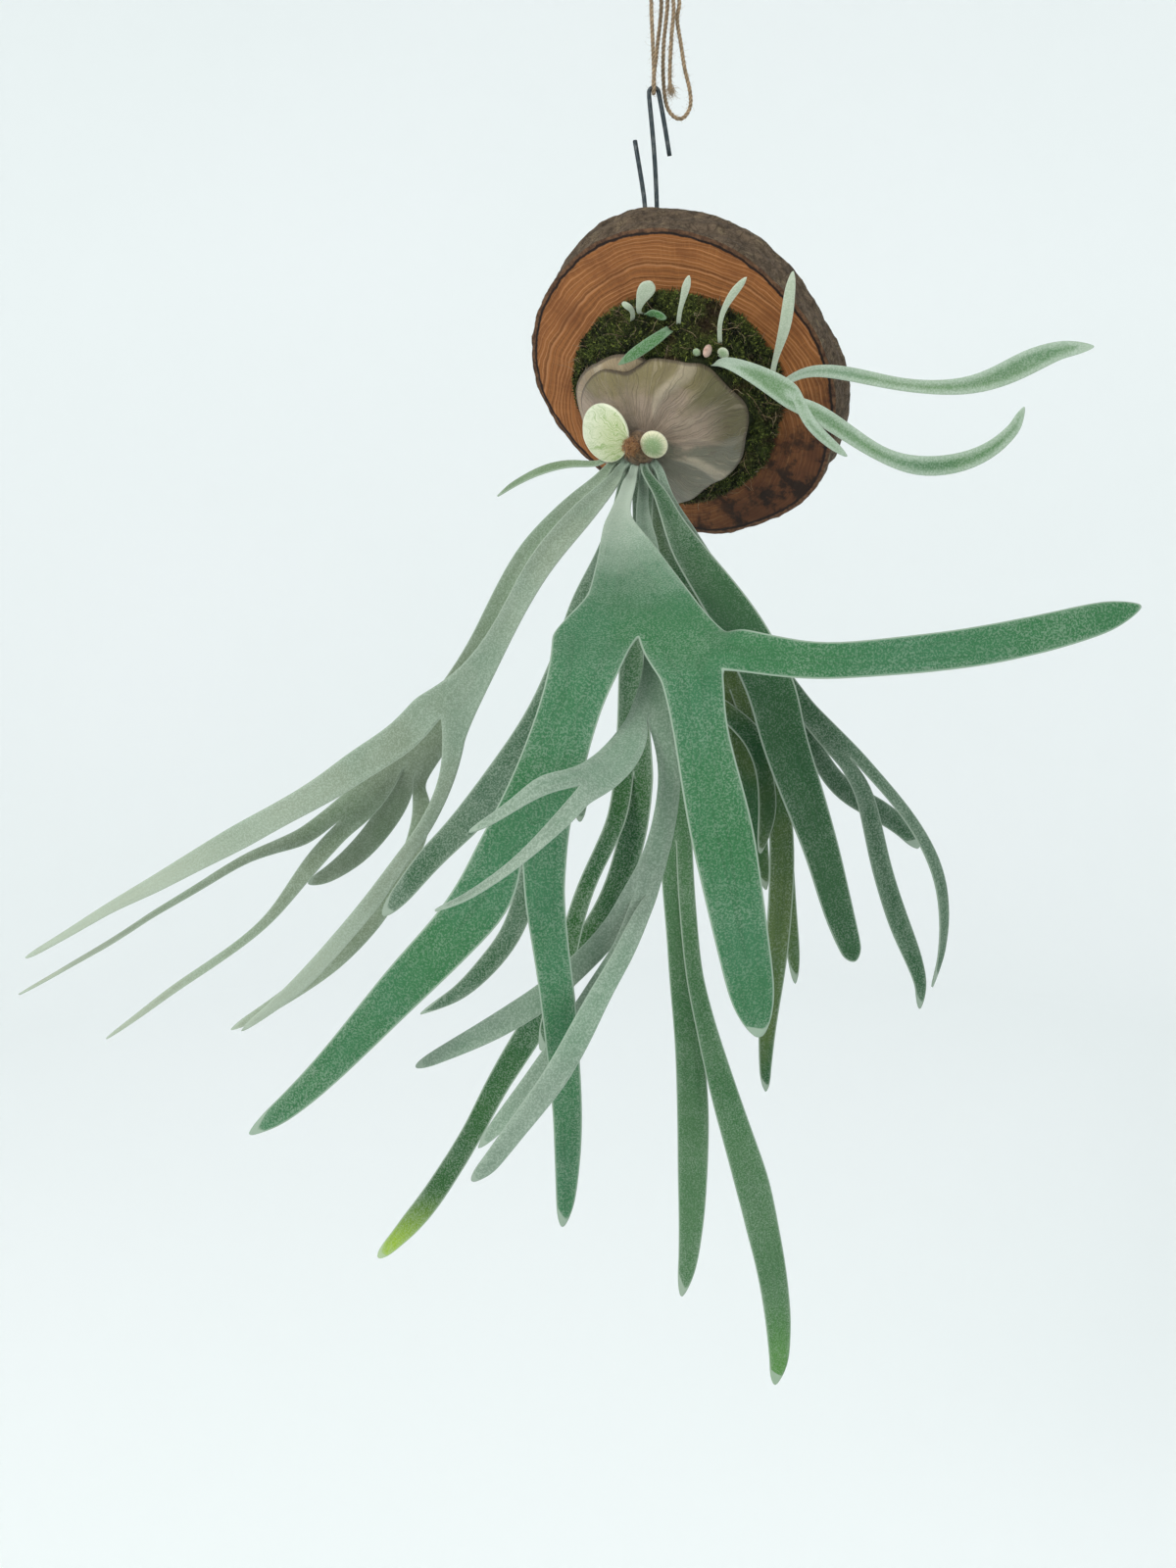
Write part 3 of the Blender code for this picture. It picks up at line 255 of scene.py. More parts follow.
class Finish:
    """A material being made: short calls that add nodes and wire them up."""

    def __init__(self, name, **sockets):
        self.material = bpy.data.materials.new(name)
        self.material.use_nodes = True
        self.tree = self.material.node_tree
        self.shader = self.tree.nodes["Principled BSDF"]
        self.relief = None
        for key, value in sockets.items():
            self.put(self.shader.inputs[key.replace("_", " ")], value)

    def put(self, socket, value):
        if isinstance(value, bpy.types.NodeSocket):
            self.tree.links.new(value, socket)
        elif isinstance(value, tuple) and len(value) == 3 and socket.type == "RGBA":
            socket.default_value = (*value, 1.0)
        else:
            socket.default_value = value

    def add(self, kind, **settings):
        made = self.tree.nodes.new("ShaderNode" + kind)
        for key, value in settings.items():
            setattr(made, key, value)
        return made

    def sum(self, operation, a, b=0.0, c=0.0):
        made = self.add("Math", operation=operation)
        for socket, value in zip(made.inputs, (a, b, c)):
            self.put(socket, value)
        return made.outputs[0]

    def mix(self, share, a, b):
        made = self.add("Mix", data_type="RGBA")
        for index, value in ((0, share), (6, a), (7, b)):
            self.put(made.inputs[index], value)
        return made.outputs[2]

    def span(self, value, low, high, start=0.0, end=1.0):
        """Goes smoothly from start to end while a value goes from low to high."""
        made = self.add("MapRange", interpolation_type="SMOOTHSTEP")
        for socket, number in zip(made.inputs, (value, low, high, start, end)):
            self.put(socket, number)
        return made.outputs[0]

    def coat(self, colour, tint, value, low, high, start=0.0, end=1.0):
        """Lays a tint over a colour, as thickly as the value's span says."""
        return self.mix(self.span(value, low, high, start, end), colour, tint)

    def object_place(self):
        return self.add("TexCoord").outputs["Object"]

    def board_place(self):
        """Places on the board's axes, in metres."""
        made = self.add("Mapping", vector_type="TEXTURE")
        self.put(made.inputs["Vector"], self.object_place())
        made.inputs["Location"].default_value = BOARD_CENTRE
        made.inputs["Rotation"].default_value = BOARD_TURNS
        return made.outputs[0]

    def parts(self, vector):
        made = self.add("SeparateXYZ")
        self.put(made.inputs[0], vector)
        return made.outputs

    def join(self, x, y, z=0.0):
        made = self.add("CombineXYZ")
        for socket, value in zip(made.inputs, (x, y, z)):
            self.put(socket, value)
        return made.outputs[0]

    def noise(self, place, scale, detail=3.0, roughness=0.55):
        made = self.add("TexNoise")
        self.put(made.inputs["Vector"], place)
        made.inputs["Scale"].default_value = scale
        made.inputs["Detail"].default_value = detail
        made.inputs["Roughness"].default_value = roughness
        return made.outputs["Fac"]

    def fan(self, turn, turns, reach, reaches, seed=0.0, detail=1.0, roughness=0.55):
        """Noise drawn out along rays from a centre, or along a leaf."""
        place = self.join(self.sum("MULTIPLY", turn, turns), self.sum("MULTIPLY", reach, reaches), seed)
        return self.noise(place, 1.0, detail, roughness)

    def middle(self, noise):
        """0 along the lines where a noise crosses its middle value."""
        return self.sum("ABSOLUTE", self.sum("SUBTRACT", noise, 0.5))

    def cell_walls(self, place, scale):
        """Distance from the walls of small cells."""
        made = self.add("TexVoronoi", feature="DISTANCE_TO_EDGE")
        self.put(made.inputs["Vector"], place)
        made.inputs["Scale"].default_value = scale
        return made.outputs["Distance"]

    def length(self, across, up):
        squares = self.sum("MULTIPLY", across, across), self.sum("MULTIPLY", up, up)
        return self.sum("SQRT", self.sum("ADD", *squares))

    def attribute(self, name):
        return self.add("Attribute", attribute_name=name).outputs["Fac"]

    def round_place(self, centre):
        """Angle and distance round a point on the board's axes."""
        across, up, _ = self.parts(self.board_place())
        across = self.sum("SUBTRACT", across, centre[0] * MM)
        up = self.sum("SUBTRACT", up, centre[1] * MM)
        angle = self.sum("ARCTAN2", up, across)
        return angle, self.length(across, up)

    def bump(self, height, distance, strength=1.0):
        made = self.add("Bump")
        made.inputs["Strength"].default_value = strength
        made.inputs["Distance"].default_value = distance
        self.put(made.inputs["Height"], height)
        if self.relief:
            self.put(made.inputs["Normal"], self.relief)
        self.relief = made.outputs[0]

    def done(self, colour, rough=None):
        self.put(self.shader.inputs["Base Color"], colour)
        if rough is not None:
            self.put(self.shader.inputs["Roughness"], rough)
        if self.relief:
            self.put(self.shader.inputs["Normal"], self.relief)
        return self.material


def leaf_finish(name, green, second, felt, frost, stalk=0.30, tip=None, tip_from=0.85, edge=0.65, band=0.10,
                seed=0.0):
    """Leaf skin: two greens, star hairs that frost it, a pale rim, and a fresh tip if it has one."""
    skin = Finish(name, Roughness=0.55, Sheen_Weight=0.04, Sheen_Roughness=0.5, Specular_IOR_Level=0.22)
    shifted = skin.add("VectorMath", operation="ADD")
    skin.put(shifted.inputs[0], skin.object_place())
    shifted.inputs[1].default_value = (seed, seed, 0.0)
    place = shifted.outputs[0]
    along = skin.attribute("along")
    margin = skin.attribute("margin")
    under = skin.span(skin.attribute("upper"), 0.3, 0.7, 1.0, 0.0)
    colour = skin.mix(skin.span(skin.noise(place, 14.0, 3.0), 0.36, 0.66), green, second)
    if tip:
        colour = skin.coat(colour, tip, along, tip_from, 1.0)
    lines = skin.fan(margin, 700.0, along, 5.0, seed, 3.0)
    colour = skin.coat(colour, tuple(0.5 * c for c in green), lines, 0.38, 0.75, 0.0, 0.30)
    drift = skin.noise(place, 30.0, 4.0, 0.65)
    cover = skin.sum("ADD", skin.span(along, 0.08, 0.42, stalk, 0.0), frost)
    cover = skin.sum("ADD", cover, skin.span(drift, 0.30, 0.72, -0.05, 0.09))
    cover = skin.sum("ADD", cover, skin.sum("MULTIPLY", under, 0.22))
    cover = skin.sum("ADD", cover, skin.span(margin, 0.0008, 0.0045, band, 0.0))
    hairs = skin.noise(place, 1100.0, 2.0, 0.75)
    dots = skin.span(hairs, 0.44, 0.60, -0.08, 0.20)
    share = skin.sum("ADD", cover, dots)
    share = skin.sum("MAXIMUM", share, skin.span(margin, 0.0002, 0.0010, edge, 0.0))
    colour = skin.mix(skin.sum("MINIMUM", skin.sum("MAXIMUM", share, 0.0), 1.0), colour, felt)
    skin.bump(lines, 0.0007, 0.4)
    skin.bump(hairs, 0.0003, 0.5)
    return skin.done(colour)


def board_finish(looks):
    """Sawn end grain, a dark cambium line, the brown inner bark and ridged bark round it."""
    skin = Finish("wood_slice", Specular_IOR_Level=0.2)
    place = skin.board_place()
    object_place = skin.object_place()
    inner = skin.attribute("inner")
    across, up, _ = skin.parts(place)
    across = skin.sum("ADD", across, 0.004)
    up = skin.sum("ADD", up, 0.016)
    reach = skin.length(across, up)
    reach = skin.sum("ADD", reach, skin.span(skin.noise(place, 13.0, 3.0, 0.5), 0.0, 1.0, -0.008, 0.008))
    reach = skin.sum("ADD", reach, skin.span(skin.noise(place, 90.0, 3.0, 0.6), 0.0, 1.0, -0.0006, 0.0006))
    angle = skin.sum("ARCTAN2", up, across)
    years = skin.noise(skin.join(skin.sum("MULTIPLY", reach, 300.0), 0.0), 1.0, 3.0, 0.75)
    fine = skin.fan(reach, 1500.0, angle, 2.0, 0.0, 2.0)
    rays = skin.fan(angle, 55.0, reach, 30.0, 0.0, 4.0, 0.7)
    blot = skin.noise(place, 32.0, 5.0, 0.65)
    wood = tuple(looks.wood)
    colour = skin.mix(skin.span(years, 0.34, 0.66), tuple(0.55 * c for c in wood), wood)
    winter = skin.sum("SINE", skin.sum("MULTIPLY_ADD", reach, 2500.0, skin.sum("MULTIPLY", years, 9.0)))
    colour = skin.coat(colour, (0.50, 0.235, 0.10), winter, 0.55, 0.98, 0.0, 0.55)
    colour = skin.coat(colour, (0.13, 0.040, 0.012), fine, 0.42, 0.68, 0.0, 0.45)
    colour = skin.coat(colour, (0.44, 0.18, 0.06), rays, 0.45, 0.72, 0.0, 0.28)
    colour = skin.coat(colour, (0.15, 0.050, 0.016), blot, 0.46, 0.68, 0.0, 0.55)
    # The wood darkens towards the lower right, and has darker blotches there.
    side = skin.sum("ADD", skin.sum("MULTIPLY", across, 0.62), skin.sum("MULTIPLY", up, -0.78))
    lower_right_dark = skin.span(skin.sum("ADD", side, skin.span(blot, 0.2, 0.8, -0.018, 0.018)), 0.012, 0.075)
    colour = skin.mix(skin.sum("MULTIPLY", lower_right_dark, 0.85), colour, (0.055, 0.020, 0.009))
    lower_right_blots = skin.sum("MULTIPLY", lower_right_dark, skin.span(skin.noise(place, 58.0, 4.0, 0.7), 0.46, 0.58))
    colour = skin.mix(skin.sum("MULTIPLY", lower_right_blots, 0.9), colour, (0.010, 0.006, 0.004))
    ragged = skin.span(skin.noise(place, 75.0, 4.0, 0.65), 0.2, 0.8, -0.14, 0.14)
    edge = skin.sum("ADD", inner, ragged)
    colour = skin.coat(colour, (0.014, 0.008, 0.006), edge, 0.66, 0.80, 1.0, 0.0)
    bast = skin.span(skin.noise(place, 240.0, 4.0, 0.7), 0.35, 0.65)
    bast = skin.mix(bast, (0.050, 0.024, 0.014), (0.15, 0.075, 0.038))
    colour = skin.coat(colour, bast, edge, 0.40, 0.52, 1.0, 0.0)
    ridge = skin.noise(object_place, 170.0, 6.0, 0.80)
    bark = tuple(looks.bark)
    rind = skin.mix(skin.span(ridge, 0.34, 0.66), tuple(0.32 * c for c in bark), bark)
    lichen = skin.noise(object_place, 130.0, 5.0, 0.8)
    rind = skin.coat(rind, (0.200, 0.150, 0.090), lichen, 0.52, 0.64, 0.0, 0.65)
    crack = skin.cell_walls(object_place, 170.0)
    rind = skin.coat(rind, (0.018, 0.012, 0.009), crack, 0.0, 0.06, 0.55, 0.0)
    outside = skin.span(inner, 0.02, 0.10, 1.0, 0.0)
    colour = skin.mix(outside, colour, rind)
    skin.bump(skin.mix(outside, years, ridge), 0.0018, 0.7)
    skin.bump(skin.mix(outside, fine, crack), 0.0005, 0.5)
    return skin.done(colour, skin.span(outside, 0.0, 1.0, 0.60, 0.93))


# The near-black colours stand partly for old dark moss deep in the cushion and partly for painted shade in
# the gaps between the sprigs.
def moss_finish(name, dark, middle, bright, share):
    skin = Finish(name, Roughness=0.85, Sheen_Weight=0.03, Specular_IOR_Level=0.2)
    place = skin.object_place()
    clumps = skin.noise(place, 85.0, 5.0, 0.7)
    specks = skin.noise(place, 420.0, 3.0, 0.75)
    colour = skin.mix(skin.span(clumps, 0.38, 0.66), dark, middle)
    colour = skin.mix(skin.sum("MULTIPLY", skin.span(specks, 0.52, 0.70), share), colour, bright)
    patches = skin.noise(place, 45.0, 4.0, 0.65)
    colour = skin.coat(colour, (0.050, 0.028, 0.014), patches, 0.50, 0.66, 0.0, 0.70)
    skin.bump(specks, 0.0015, 0.8)
    return skin.done(colour)


def old_shield_finish(name, pale):
    """Dry papery shield: veins that fan out from the crown, olive, tan and grey areas, a dark rim."""
    skin = Finish(name, Roughness=0.62, Sheen_Weight=0.06, Specular_IOR_Level=0.3)
    angle, reach = skin.round_place(CROWN_PLACE)
    place = skin.board_place()
    across, up, _ = skin.parts(place)
    margin = skin.attribute("margin")
    blot = skin.noise(place, 34.0, 5.0, 0.6)
    broad = skin.fan(angle, 2.6, reach, 6.0, 0.0, 3.0)
    turn = skin.sum("ADD", angle, skin.span(skin.noise(place, 45.0, 2.0), 0.0, 1.0, -0.12, 0.12))
    wide = skin.fan(turn, 17.0, reach, 14.0, 2.0, 1.0)
    thin = skin.fan(turn, 46.0, reach, 60.0, 5.0, 1.0)
    veins = skin.middle(wide)
    twigs = skin.middle(thin)
    fold = skin.attribute("fold")
    net = skin.cell_walls(place, 330.0)
    olive = (0.190, 0.155, 0.070)
    tan = (0.32, 0.245, 0.185)
    grey = (0.150, 0.145, 0.105)
    lift = skin.sum("ADD", up, skin.span(blot, 0.2, 0.8, -0.018, 0.018))
    colour = skin.mix(skin.span(lift, 0.006, 0.030), tan, olive)
    right = skin.sum("ADD", across, skin.span(broad, 0.2, 0.8, -0.014, 0.014))
    colour = skin.coat(colour, (0.085, 0.080, 0.030), right, 0.014, 0.034, 0.0, 0.9)
    colour = skin.coat(colour, grey, lift, -0.024, -0.012, 1.0, 0.0)
    if pale:
        colour = skin.mix(0.55, colour, (0.38, 0.28, 0.18))
    colour = skin.coat(colour, (0.42, 0.35, 0.25), veins, 0.0, 0.022, 0.30, 0.0)
    colour = skin.coat(colour, (0.40, 0.33, 0.23), twigs, 0.0, 0.026, 0.18, 0.0)
    colour = skin.coat(colour, (0.46, 0.39, 0.29), fold, 0.25, 0.95, 0.0, 0.50)
    colour = skin.coat(colour, (0.085, 0.065, 0.045), broad, 0.30, 0.55, 0.35, 0.0)
    colour = skin.coat(colour, (0.10, 0.075, 0.05), net, 0.0, 0.06, 0.22, 0.0)
    freckles = skin.noise(place, 150.0, 5.0, 0.7)
    colour = skin.coat(colour, (0.085, 0.052, 0.032), freckles, 0.60, 0.74, 0.0, 0.55)
    colour = skin.coat(colour, (0.055, 0.038, 0.024), margin, 0.0004, 0.0030, 0.85, 0.0)
    skin.bump(skin.span(veins, 0.0, 0.06, 1.0, 0.0), 0.0007, 0.7)
    skin.bump(net, 0.0004, 0.35)
    skin.bump(skin.noise(place, 90.0, 5.0, 0.6), 0.0016, 0.4)
    return skin.done(colour)


def young_shield_finish(name, centre, half, middle, cream, vein):
    """Fresh shield: cream at the rim, green in the middle, with branching veins."""
    skin = Finish(name, Roughness=0.55, Sheen_Weight=0.1, Specular_IOR_Level=0.3)
    angle, reach = skin.round_place(centre)
    place = skin.board_place()
    wander = skin.noise(place, 110.0, 2.0)
    turn = skin.sum("ADD", angle, skin.span(wander, 0.0, 1.0, -0.30, 0.30))
    big = skin.fan(turn, 7.0, reach, 16.0, 0.0, 1.0)
    small = skin.fan(turn, 19.0, reach, 70.0, 3.0, 1.0)
    share = skin.sum("DIVIDE", reach, half * MM)
    colour = skin.mix(skin.span(share, 0.35, 0.95), middle, cream)
    fade = skin.span(share, 0.55, 1.0, 1.0, 0.25)
    ridge = skin.middle(big)
    twig = skin.middle(small)
    colour = skin.mix(skin.sum("MULTIPLY", skin.span(ridge, 0.0, 0.055, 0.85, 0.0), fade), colour, vein)
    colour = skin.mix(skin.sum("MULTIPLY", skin.span(twig, 0.0, 0.050, 0.50, 0.0), fade), colour, vein)
    colour = skin.coat(colour, (0.80, 0.80, 0.62), skin.attribute("margin"), 0.0002, 0.0014, 0.7, 0.0)
    hairs = skin.noise(place, 1500.0, 2.0)
    colour = skin.coat(colour, (0.85, 0.86, 0.72), hairs, 0.55, 0.70, 0.0, 0.35)
    skin.bump(ridge, 0.0006, 0.5)
    skin.bump(hairs, 0.0002, 0.4)
    return skin.done(colour)


def fibre_finish(name, colour, dark, scale, rough=0.85):
    """Any hairy plant fibre: jute, rusty scales or dry roots."""
    skin = Finish(name, Roughness=rough, Sheen_Weight=0.2)
    place = skin.object_place()
    tone = skin.noise(place, scale, 4.0, 0.7)
    grain = skin.noise(place, scale * 5, 2.0, 0.7)
    shade = skin.mix(skin.span(tone, 0.35, 0.68), dark, colour)
    shade = skin.coat(shade, tuple(min(1.0, 1.5 * c) for c in colour), grain, 0.48, 0.70, 0.0, 0.5)
    # Painted shade: the valleys between a twine's plies are darkened.
    shade = skin.coat(shade, tuple(0.6 * c for c in dark), skin.attribute("groove_shade"), 0.3, 0.8, 0.0, 0.8)
    skin.bump(grain, 0.0003, 0.7)
    return skin.done(shade)


def wire_finish():
    skin = Finish("dark_wire", Metallic=0.75, Specular_IOR_Level=0.5)
    place = skin.object_place()
    worn = skin.noise(place, 260.0, 4.0, 0.7)
    colour = skin.mix(skin.span(worn, 0.45, 0.70), (0.038, 0.050, 0.056), (0.12, 0.13, 0.13))
    rough = skin.span(worn, 0.3, 0.7, 0.34, 0.58)
    skin.bump(worn, 0.0002, 0.3)
    return skin.done(colour, rough)


# Leaves -----------------------------------------------------------------------


def sharp_vertices(thing, angle):
    """Which points lie on edges sharper than an angle, and those edges."""
    take(thing)
    edit_mode()
    bpy.ops.mesh.select_all(action="DESELECT")
    bpy.ops.mesh.select_mode(type="EDGE")
    bpy.ops.mesh.edges_select_sharp(sharpness=angle)
    object_mode()
    mesh = thing.data
    edges = {tuple(sorted(edge.vertices)) for edge in mesh.edges if edge.select}
    return {v for edge in edges for v in edge}, edges


def spread(mesh, starts):
    """Distance over the surface from the starting points to every other point."""
    near = [[] for _ in mesh.vertices]
    for edge in mesh.edges:
        a, b = edge.vertices
        length = (mesh.vertices[a].co - mesh.vertices[b].co).length
        near[a].append((b, length))
        near[b].append((a, length))
    far = [1.0] * len(near)
    queue = []
    for start in starts:
        far[start] = 0.0
        queue.append((0.0, start))
    heapq.heapify(queue)
    while queue:
        reach, at = heapq.heappop(queue)
        if reach > far[at]:
            continue
        for other, length in near[at]:
            if reach + length < far[other]:
                far[other] = reach + length
                heapq.heappush(queue, (far[other], other))
    return far


def upper_share(mesh, edges, up):
    """1 on points of the sheet's upper side and 0 on its under side."""
    sides = {}
    for face in mesh.polygons:
        for key in face.edge_keys:
            if tuple(sorted(key)) not in edges:
                sides.setdefault(tuple(sorted(key)), []).append(face.index)
    joined = [[] for _ in mesh.polygons]
    for pair in sides.values():
        if len(pair) == 2:
            joined[pair[0]].append(pair[1])
            joined[pair[1]].append(pair[0])
    group = [-1] * len(mesh.polygons)
    count = 0
    for first in range(len(group)):
        if group[first] >= 0:
            continue
        group[first] = count
        queue = [first]
        while queue:
            for other in joined[queue.pop()]:
                if group[other] < 0:
                    group[other] = count
                    queue.append(other)
        count += 1
    facing = [0.0] * count
    for face in mesh.polygons:
        facing[group[face.index]] += face.area * face.normal.dot(up)
    share = [0.0] * len(mesh.vertices)
    for face in mesh.polygons:
        if facing[group[face.index]] > 0:
            for v in face.vertices:
                share[v] = 1.0
    return share


def leaf_piece(node, material, seat, levels, up=UP_AND_FRONT, wave=LEAF_WAVE):
    """One leaf: its sheet thinned at the rim, smoothed, and given the places its skin is painted by."""
    thing = cad_copy(node, node + "_leaf")
    mesh = thing.data
    rim, edges = sharp_vertices(thing, LEAF_RIM)
    number_attribute(mesh, "margin", spread(mesh, rim))
    base = min(range(len(mesh.vertices)), key=lambda i: (mesh.vertices[i].co - seat).length)
    along = spread(mesh, [base])
    most = max(along)
    number_attribute(mesh, "along", [reach / most for reach in along])
    number_attribute(mesh, "upper", upper_share(mesh, edges, up))
    thin_rim(mesh, rim, edges)
    crease_edges(mesh, edges, LEAF_CREASE)
    subdivide(thing, levels)
    if wave:
        waves = clouds(node + "_wave", 0.035)
        apply_modifier(thing, "DISPLACE", texture=waves, strength=wave * 2, direction="Y")
    return finish_piece(thing, material, (node,))


def thin_rim(mesh, rim, edges):
    """Draws the two sides of a sheet together along its margin."""
    moves = {}
    for edge in mesh.edges:
        a, b = edge.vertices
        if a not in rim or b not in rim or tuple(sorted((a, b))) in edges:
            continue
        gap = mesh.vertices[b].co - mesh.vertices[a].co
        if gap.length < SHEET_GAP:
            moves.setdefault(a, gap * RIM_PINCH / 2)
            moves.setdefault(b, -gap * RIM_PINCH / 2)
    for index, move in moves.items():
        mesh.vertices[index].co += move


class FERN_OT_fronds(bpy.types.Operator):
    """The antler fronds that hang from the crown"""

    bl_idname = "fern.fronds"
    bl_label = "Fronds"

    def execute(self, context):
        looks = context.scene.fern_looks
        levels = context.scene.fern_sizes.smoothness
        green = tuple(looks.frond_green)
        deep = tuple(looks.deep_green)
        felt = tuple(looks.felt)
        tip = tuple(looks.tip_green)
        blue = (0.038, 0.150, 0.066)
        olive = (0.115, 0.160, 0.085)
        tan = (0.40, 0.43, 0.33)
        skins = {
            "frond_front": dict(green=green, second=blue, frost=0.0, stalk=0.92),
            "frond_forward": dict(green=(0.065, 0.135, 0.080), second=blue, frost=0.36, stalk=0.0),
            "frond_left": dict(green=olive, second=(0.080, 0.160, 0.090), frost=0.40, stalk=0.0,
                               tip=tan, tip_from=0.45),
            "frond_left_back": dict(green=olive, second=(0.090, 0.170, 0.070), frost=0.22, stalk=0.10,
                                    tip=tan, tip_from=0.60),
            "frond_right": dict(green=(0.024, 0.090, 0.030), second=deep, frost=-0.06, stalk=0.14),
            "frond_right_back": dict(green=deep, second=(0.040, 0.100, 0.050), frost=0.07, stalk=0.20),
            "frond_back_right": dict(green=deep, second=(0.070, 0.120, 0.030), frost=-0.06, stalk=0.20),
            "frond_back_left": dict(green=(0.035, 0.100, 0.050), second=deep, frost=0.10, stalk=0.20),
            "frond_long_left": dict(green=(0.016, 0.085, 0.014), second=deep, frost=0.02,
                                    tip=tip, tip_from=0.88),
            "frond_long_right": dict(green=(0.055, 0.150, 0.055), second=(0.035, 0.130, 0.040), frost=0.02,
                                     tip=(0.070, 0.220, 0.030), tip_from=0.86),
            "frond_young": dict(green=(0.12, 0.20, 0.08), second=(0.09, 0.17, 0.06), frost=0.10,
                                stalk=0.10),
        }
        seat = BOARD @ (Vector(CROWN_PLACE) * MM)
        for count, (node, words) in enumerate(skins.items()):
            skin = leaf_finish(node + "_skin", felt=felt, seed=0.31 * count, **words)
            leaf_piece(node, skin, seat, levels)
        return {"FINISHED"}


class FERN_OT_young_plants(bpy.types.Operator):
    """The three small plants along the top of the moss"""

    bl_idname = "fern.young_plants"
    bl_label = "Young plants"

    def execute(self, context):
        looks = context.scene.fern_looks
        felt = tuple(looks.felt)
        white = (0.62, 0.66, 0.54)
        frosted = dict(green=(0.20, 0.32, 0.15), second=(0.26, 0.38, 0.20), frost=0.58, edge=0.7)
        fresh = dict(green=(0.040, 0.150, 0.030), second=(0.070, 0.190, 0.050), frost=0.02, edge=0.3)
        strap = dict(green=(0.080, 0.190, 0.085), second=(0.095, 0.205, 0.070), frost=0.14, edge=0.75,
                     band=0.55)
        skins = {
            "pup_left_round": frosted, "pup_left_spoon": frosted, "pup_left_short": fresh,
            "pup_left_upright": frosted, "pup_left_green": fresh, "pup_middle_upright": frosted,
            "pup_middle_frond": strap, "pup_right_upright": frosted, "pup_right_frond": strap,
        }
        seats = {"left": Vector((-6, 56, 16)), "middle": Vector((32, 38, 22)), "right": Vector((58, 12, 8))}
        for count, (node, words) in enumerate(skins.items()):
            colour = felt if words is not frosted else white
            skin = leaf_finish(node + "_skin", felt=colour, seed=0.23 * count, stalk=0.10, **words)
            seat = BOARD @ (seats[node.split("_")[1]] * MM)
            leaf_piece(node, skin, seat, 2, up=OUT, wave=0.0)
        stem = cad_copy("pup_middle_stem", "young_stem")
        subdivide(stem, 1)
        rosy = fibre_finish("young_stem_skin", (0.62, 0.44, 0.36), (0.42, 0.26, 0.20), 300.0)
        finish_piece(stem, rosy, ("pup_middle_stem",))
        for node in ("pup_shield_left", "pup_shield_right"):
            disc = cad_copy(node, node + "_disc")
            subdivide(disc, 1)
            number_attribute(disc.data, "margin", [0.01] * len(disc.data.vertices))
            middle = (21.5, 41.5) if node.endswith("left") else (35.5, 38.5)
            skin = young_shield_finish(node + "_skin", middle, 3.5, (0.30, 0.40, 0.24), (0.52, 0.56, 0.42),
                                       (0.2, 0.3, 0.15))
            finish_piece(disc, skin, (node,))
        return {"FINISHED"}


# Board and moss ---------------------------------------------------------------

# The sawn faces and the bark's own faces are larger than these, in square metres.
FLAT_FACE = 0.001
BARK_FACE = 0.00002
# A face is level with the board when its normal has this much of the board's own.
LEVEL = 0.99
# A face belongs to the bark all round when it has less than this.
SIDEWAYS = 0.8
# The rim that carries inner bark is inset in steps, and the wood inside it once, in metres.
RIM_STEPS = 4
RIM_STEP = 0.0014
WOOD_STEP = 0.004
# Where the staple's two legs enter the back, on the board's axes, and how wide their holes are.
STAPLE_LEGS = (Vector((-0.0241, 0.0853)), Vector((-0.0241, 0.0733)))
STAPLE_HOLE = 0.003
# Sprigs and fibres stand on moss that faces outward more than this, this far off the board in metres,
# and with no shield over it within this reach.
MOSS_FACING = -0.2
BOARD_GAP = 0.0012
COVER_REACH = 0.03


def select_faces(thing, wanted):
    """Selects the faces that a test picks, and leaves the piece in edit mode."""
    take(thing)
    edit_mode()
    bpy.ops.mesh.select_mode(type="FACE")
    bpy.ops.mesh.select_all(action="DESELECT")
    object_mode()
    for face in thing.data.polygons:
        face.select = wanted(face)
    edit_mode()


class FERN_OT_board(bpy.types.Operator):
    """The wood slice with its bark"""

    bl_idname = "fern.board"
    bl_label = "Board"

    def execute(self, context):
        sizes = context.scene.fern_sizes
        slice_piece = cad_copy("board", "wood_slice_board")
        edit_all(slice_piece)
        bpy.ops.mesh.dissolve_limited(angle_limit=math.radians(0.5))
        object_mode()
        sawn = [face for face in slice_piece.data.polygons
                if face.area > FLAT_FACE and abs(face.normal.dot(OUT)) > LEVEL]
        if len(sawn) < 2:
            raise RuntimeError("the board has lost a sawn face")
        select_faces(slice_piece,
                     lambda face: abs(face.normal.dot(OUT)) < SIDEWAYS and face.area > BARK_FACE)
        bpy.ops.mesh.subdivide(number_cuts=3)
        object_mode()
        for way in (1, -1):
            select_faces(slice_piece,
                         lambda face: face.area > FLAT_FACE and face.normal.dot(OUT) * way > LEVEL)
            for _ in range(RIM_STEPS):
                bpy.ops.mesh.inset(thickness=RIM_STEP, depth=0.0)
            bpy.ops.mesh.inset(thickness=WOOD_STEP, depth=0.0)
            object_mode()
        mesh = slice_piece.data
        outer = {v for face in mesh.polygons if abs(face.normal.dot(OUT)) < LEVEL for v in face.vertices}
        for v in list(outer):
            spot = (TO_BOARD @ mesh.vertices[v].co).to_2d()
            if any((spot - leg).length < STAPLE_HOLE for leg in STAPLE_LEGS):
                outer.discard(v)
        values = [min(1.0, reach / (RIM_STEPS * RIM_STEP)) for reach in spread(mesh, outer)]
        number_attribute(mesh, "inner", values)
        group = slice_piece.vertex_groups.new(name="bark")
        group.add([i for i, share in enumerate(values) if share < 0.1], 1.0, "REPLACE")
        for size, share in ((0.011, 1.0), (0.004, 0.5)):
            apply_modifier(slice_piece, "DISPLACE", texture=clouds("bark_ridges", size), mid_level=0.62,
                           strength=sizes.bark_relief * share, vertex_group="bark")
        skin = board_finish(context.scene.fern_looks)
        finish_piece(slice_piece, skin, ("board",), math.radians(40))
        return {"FINISHED"}


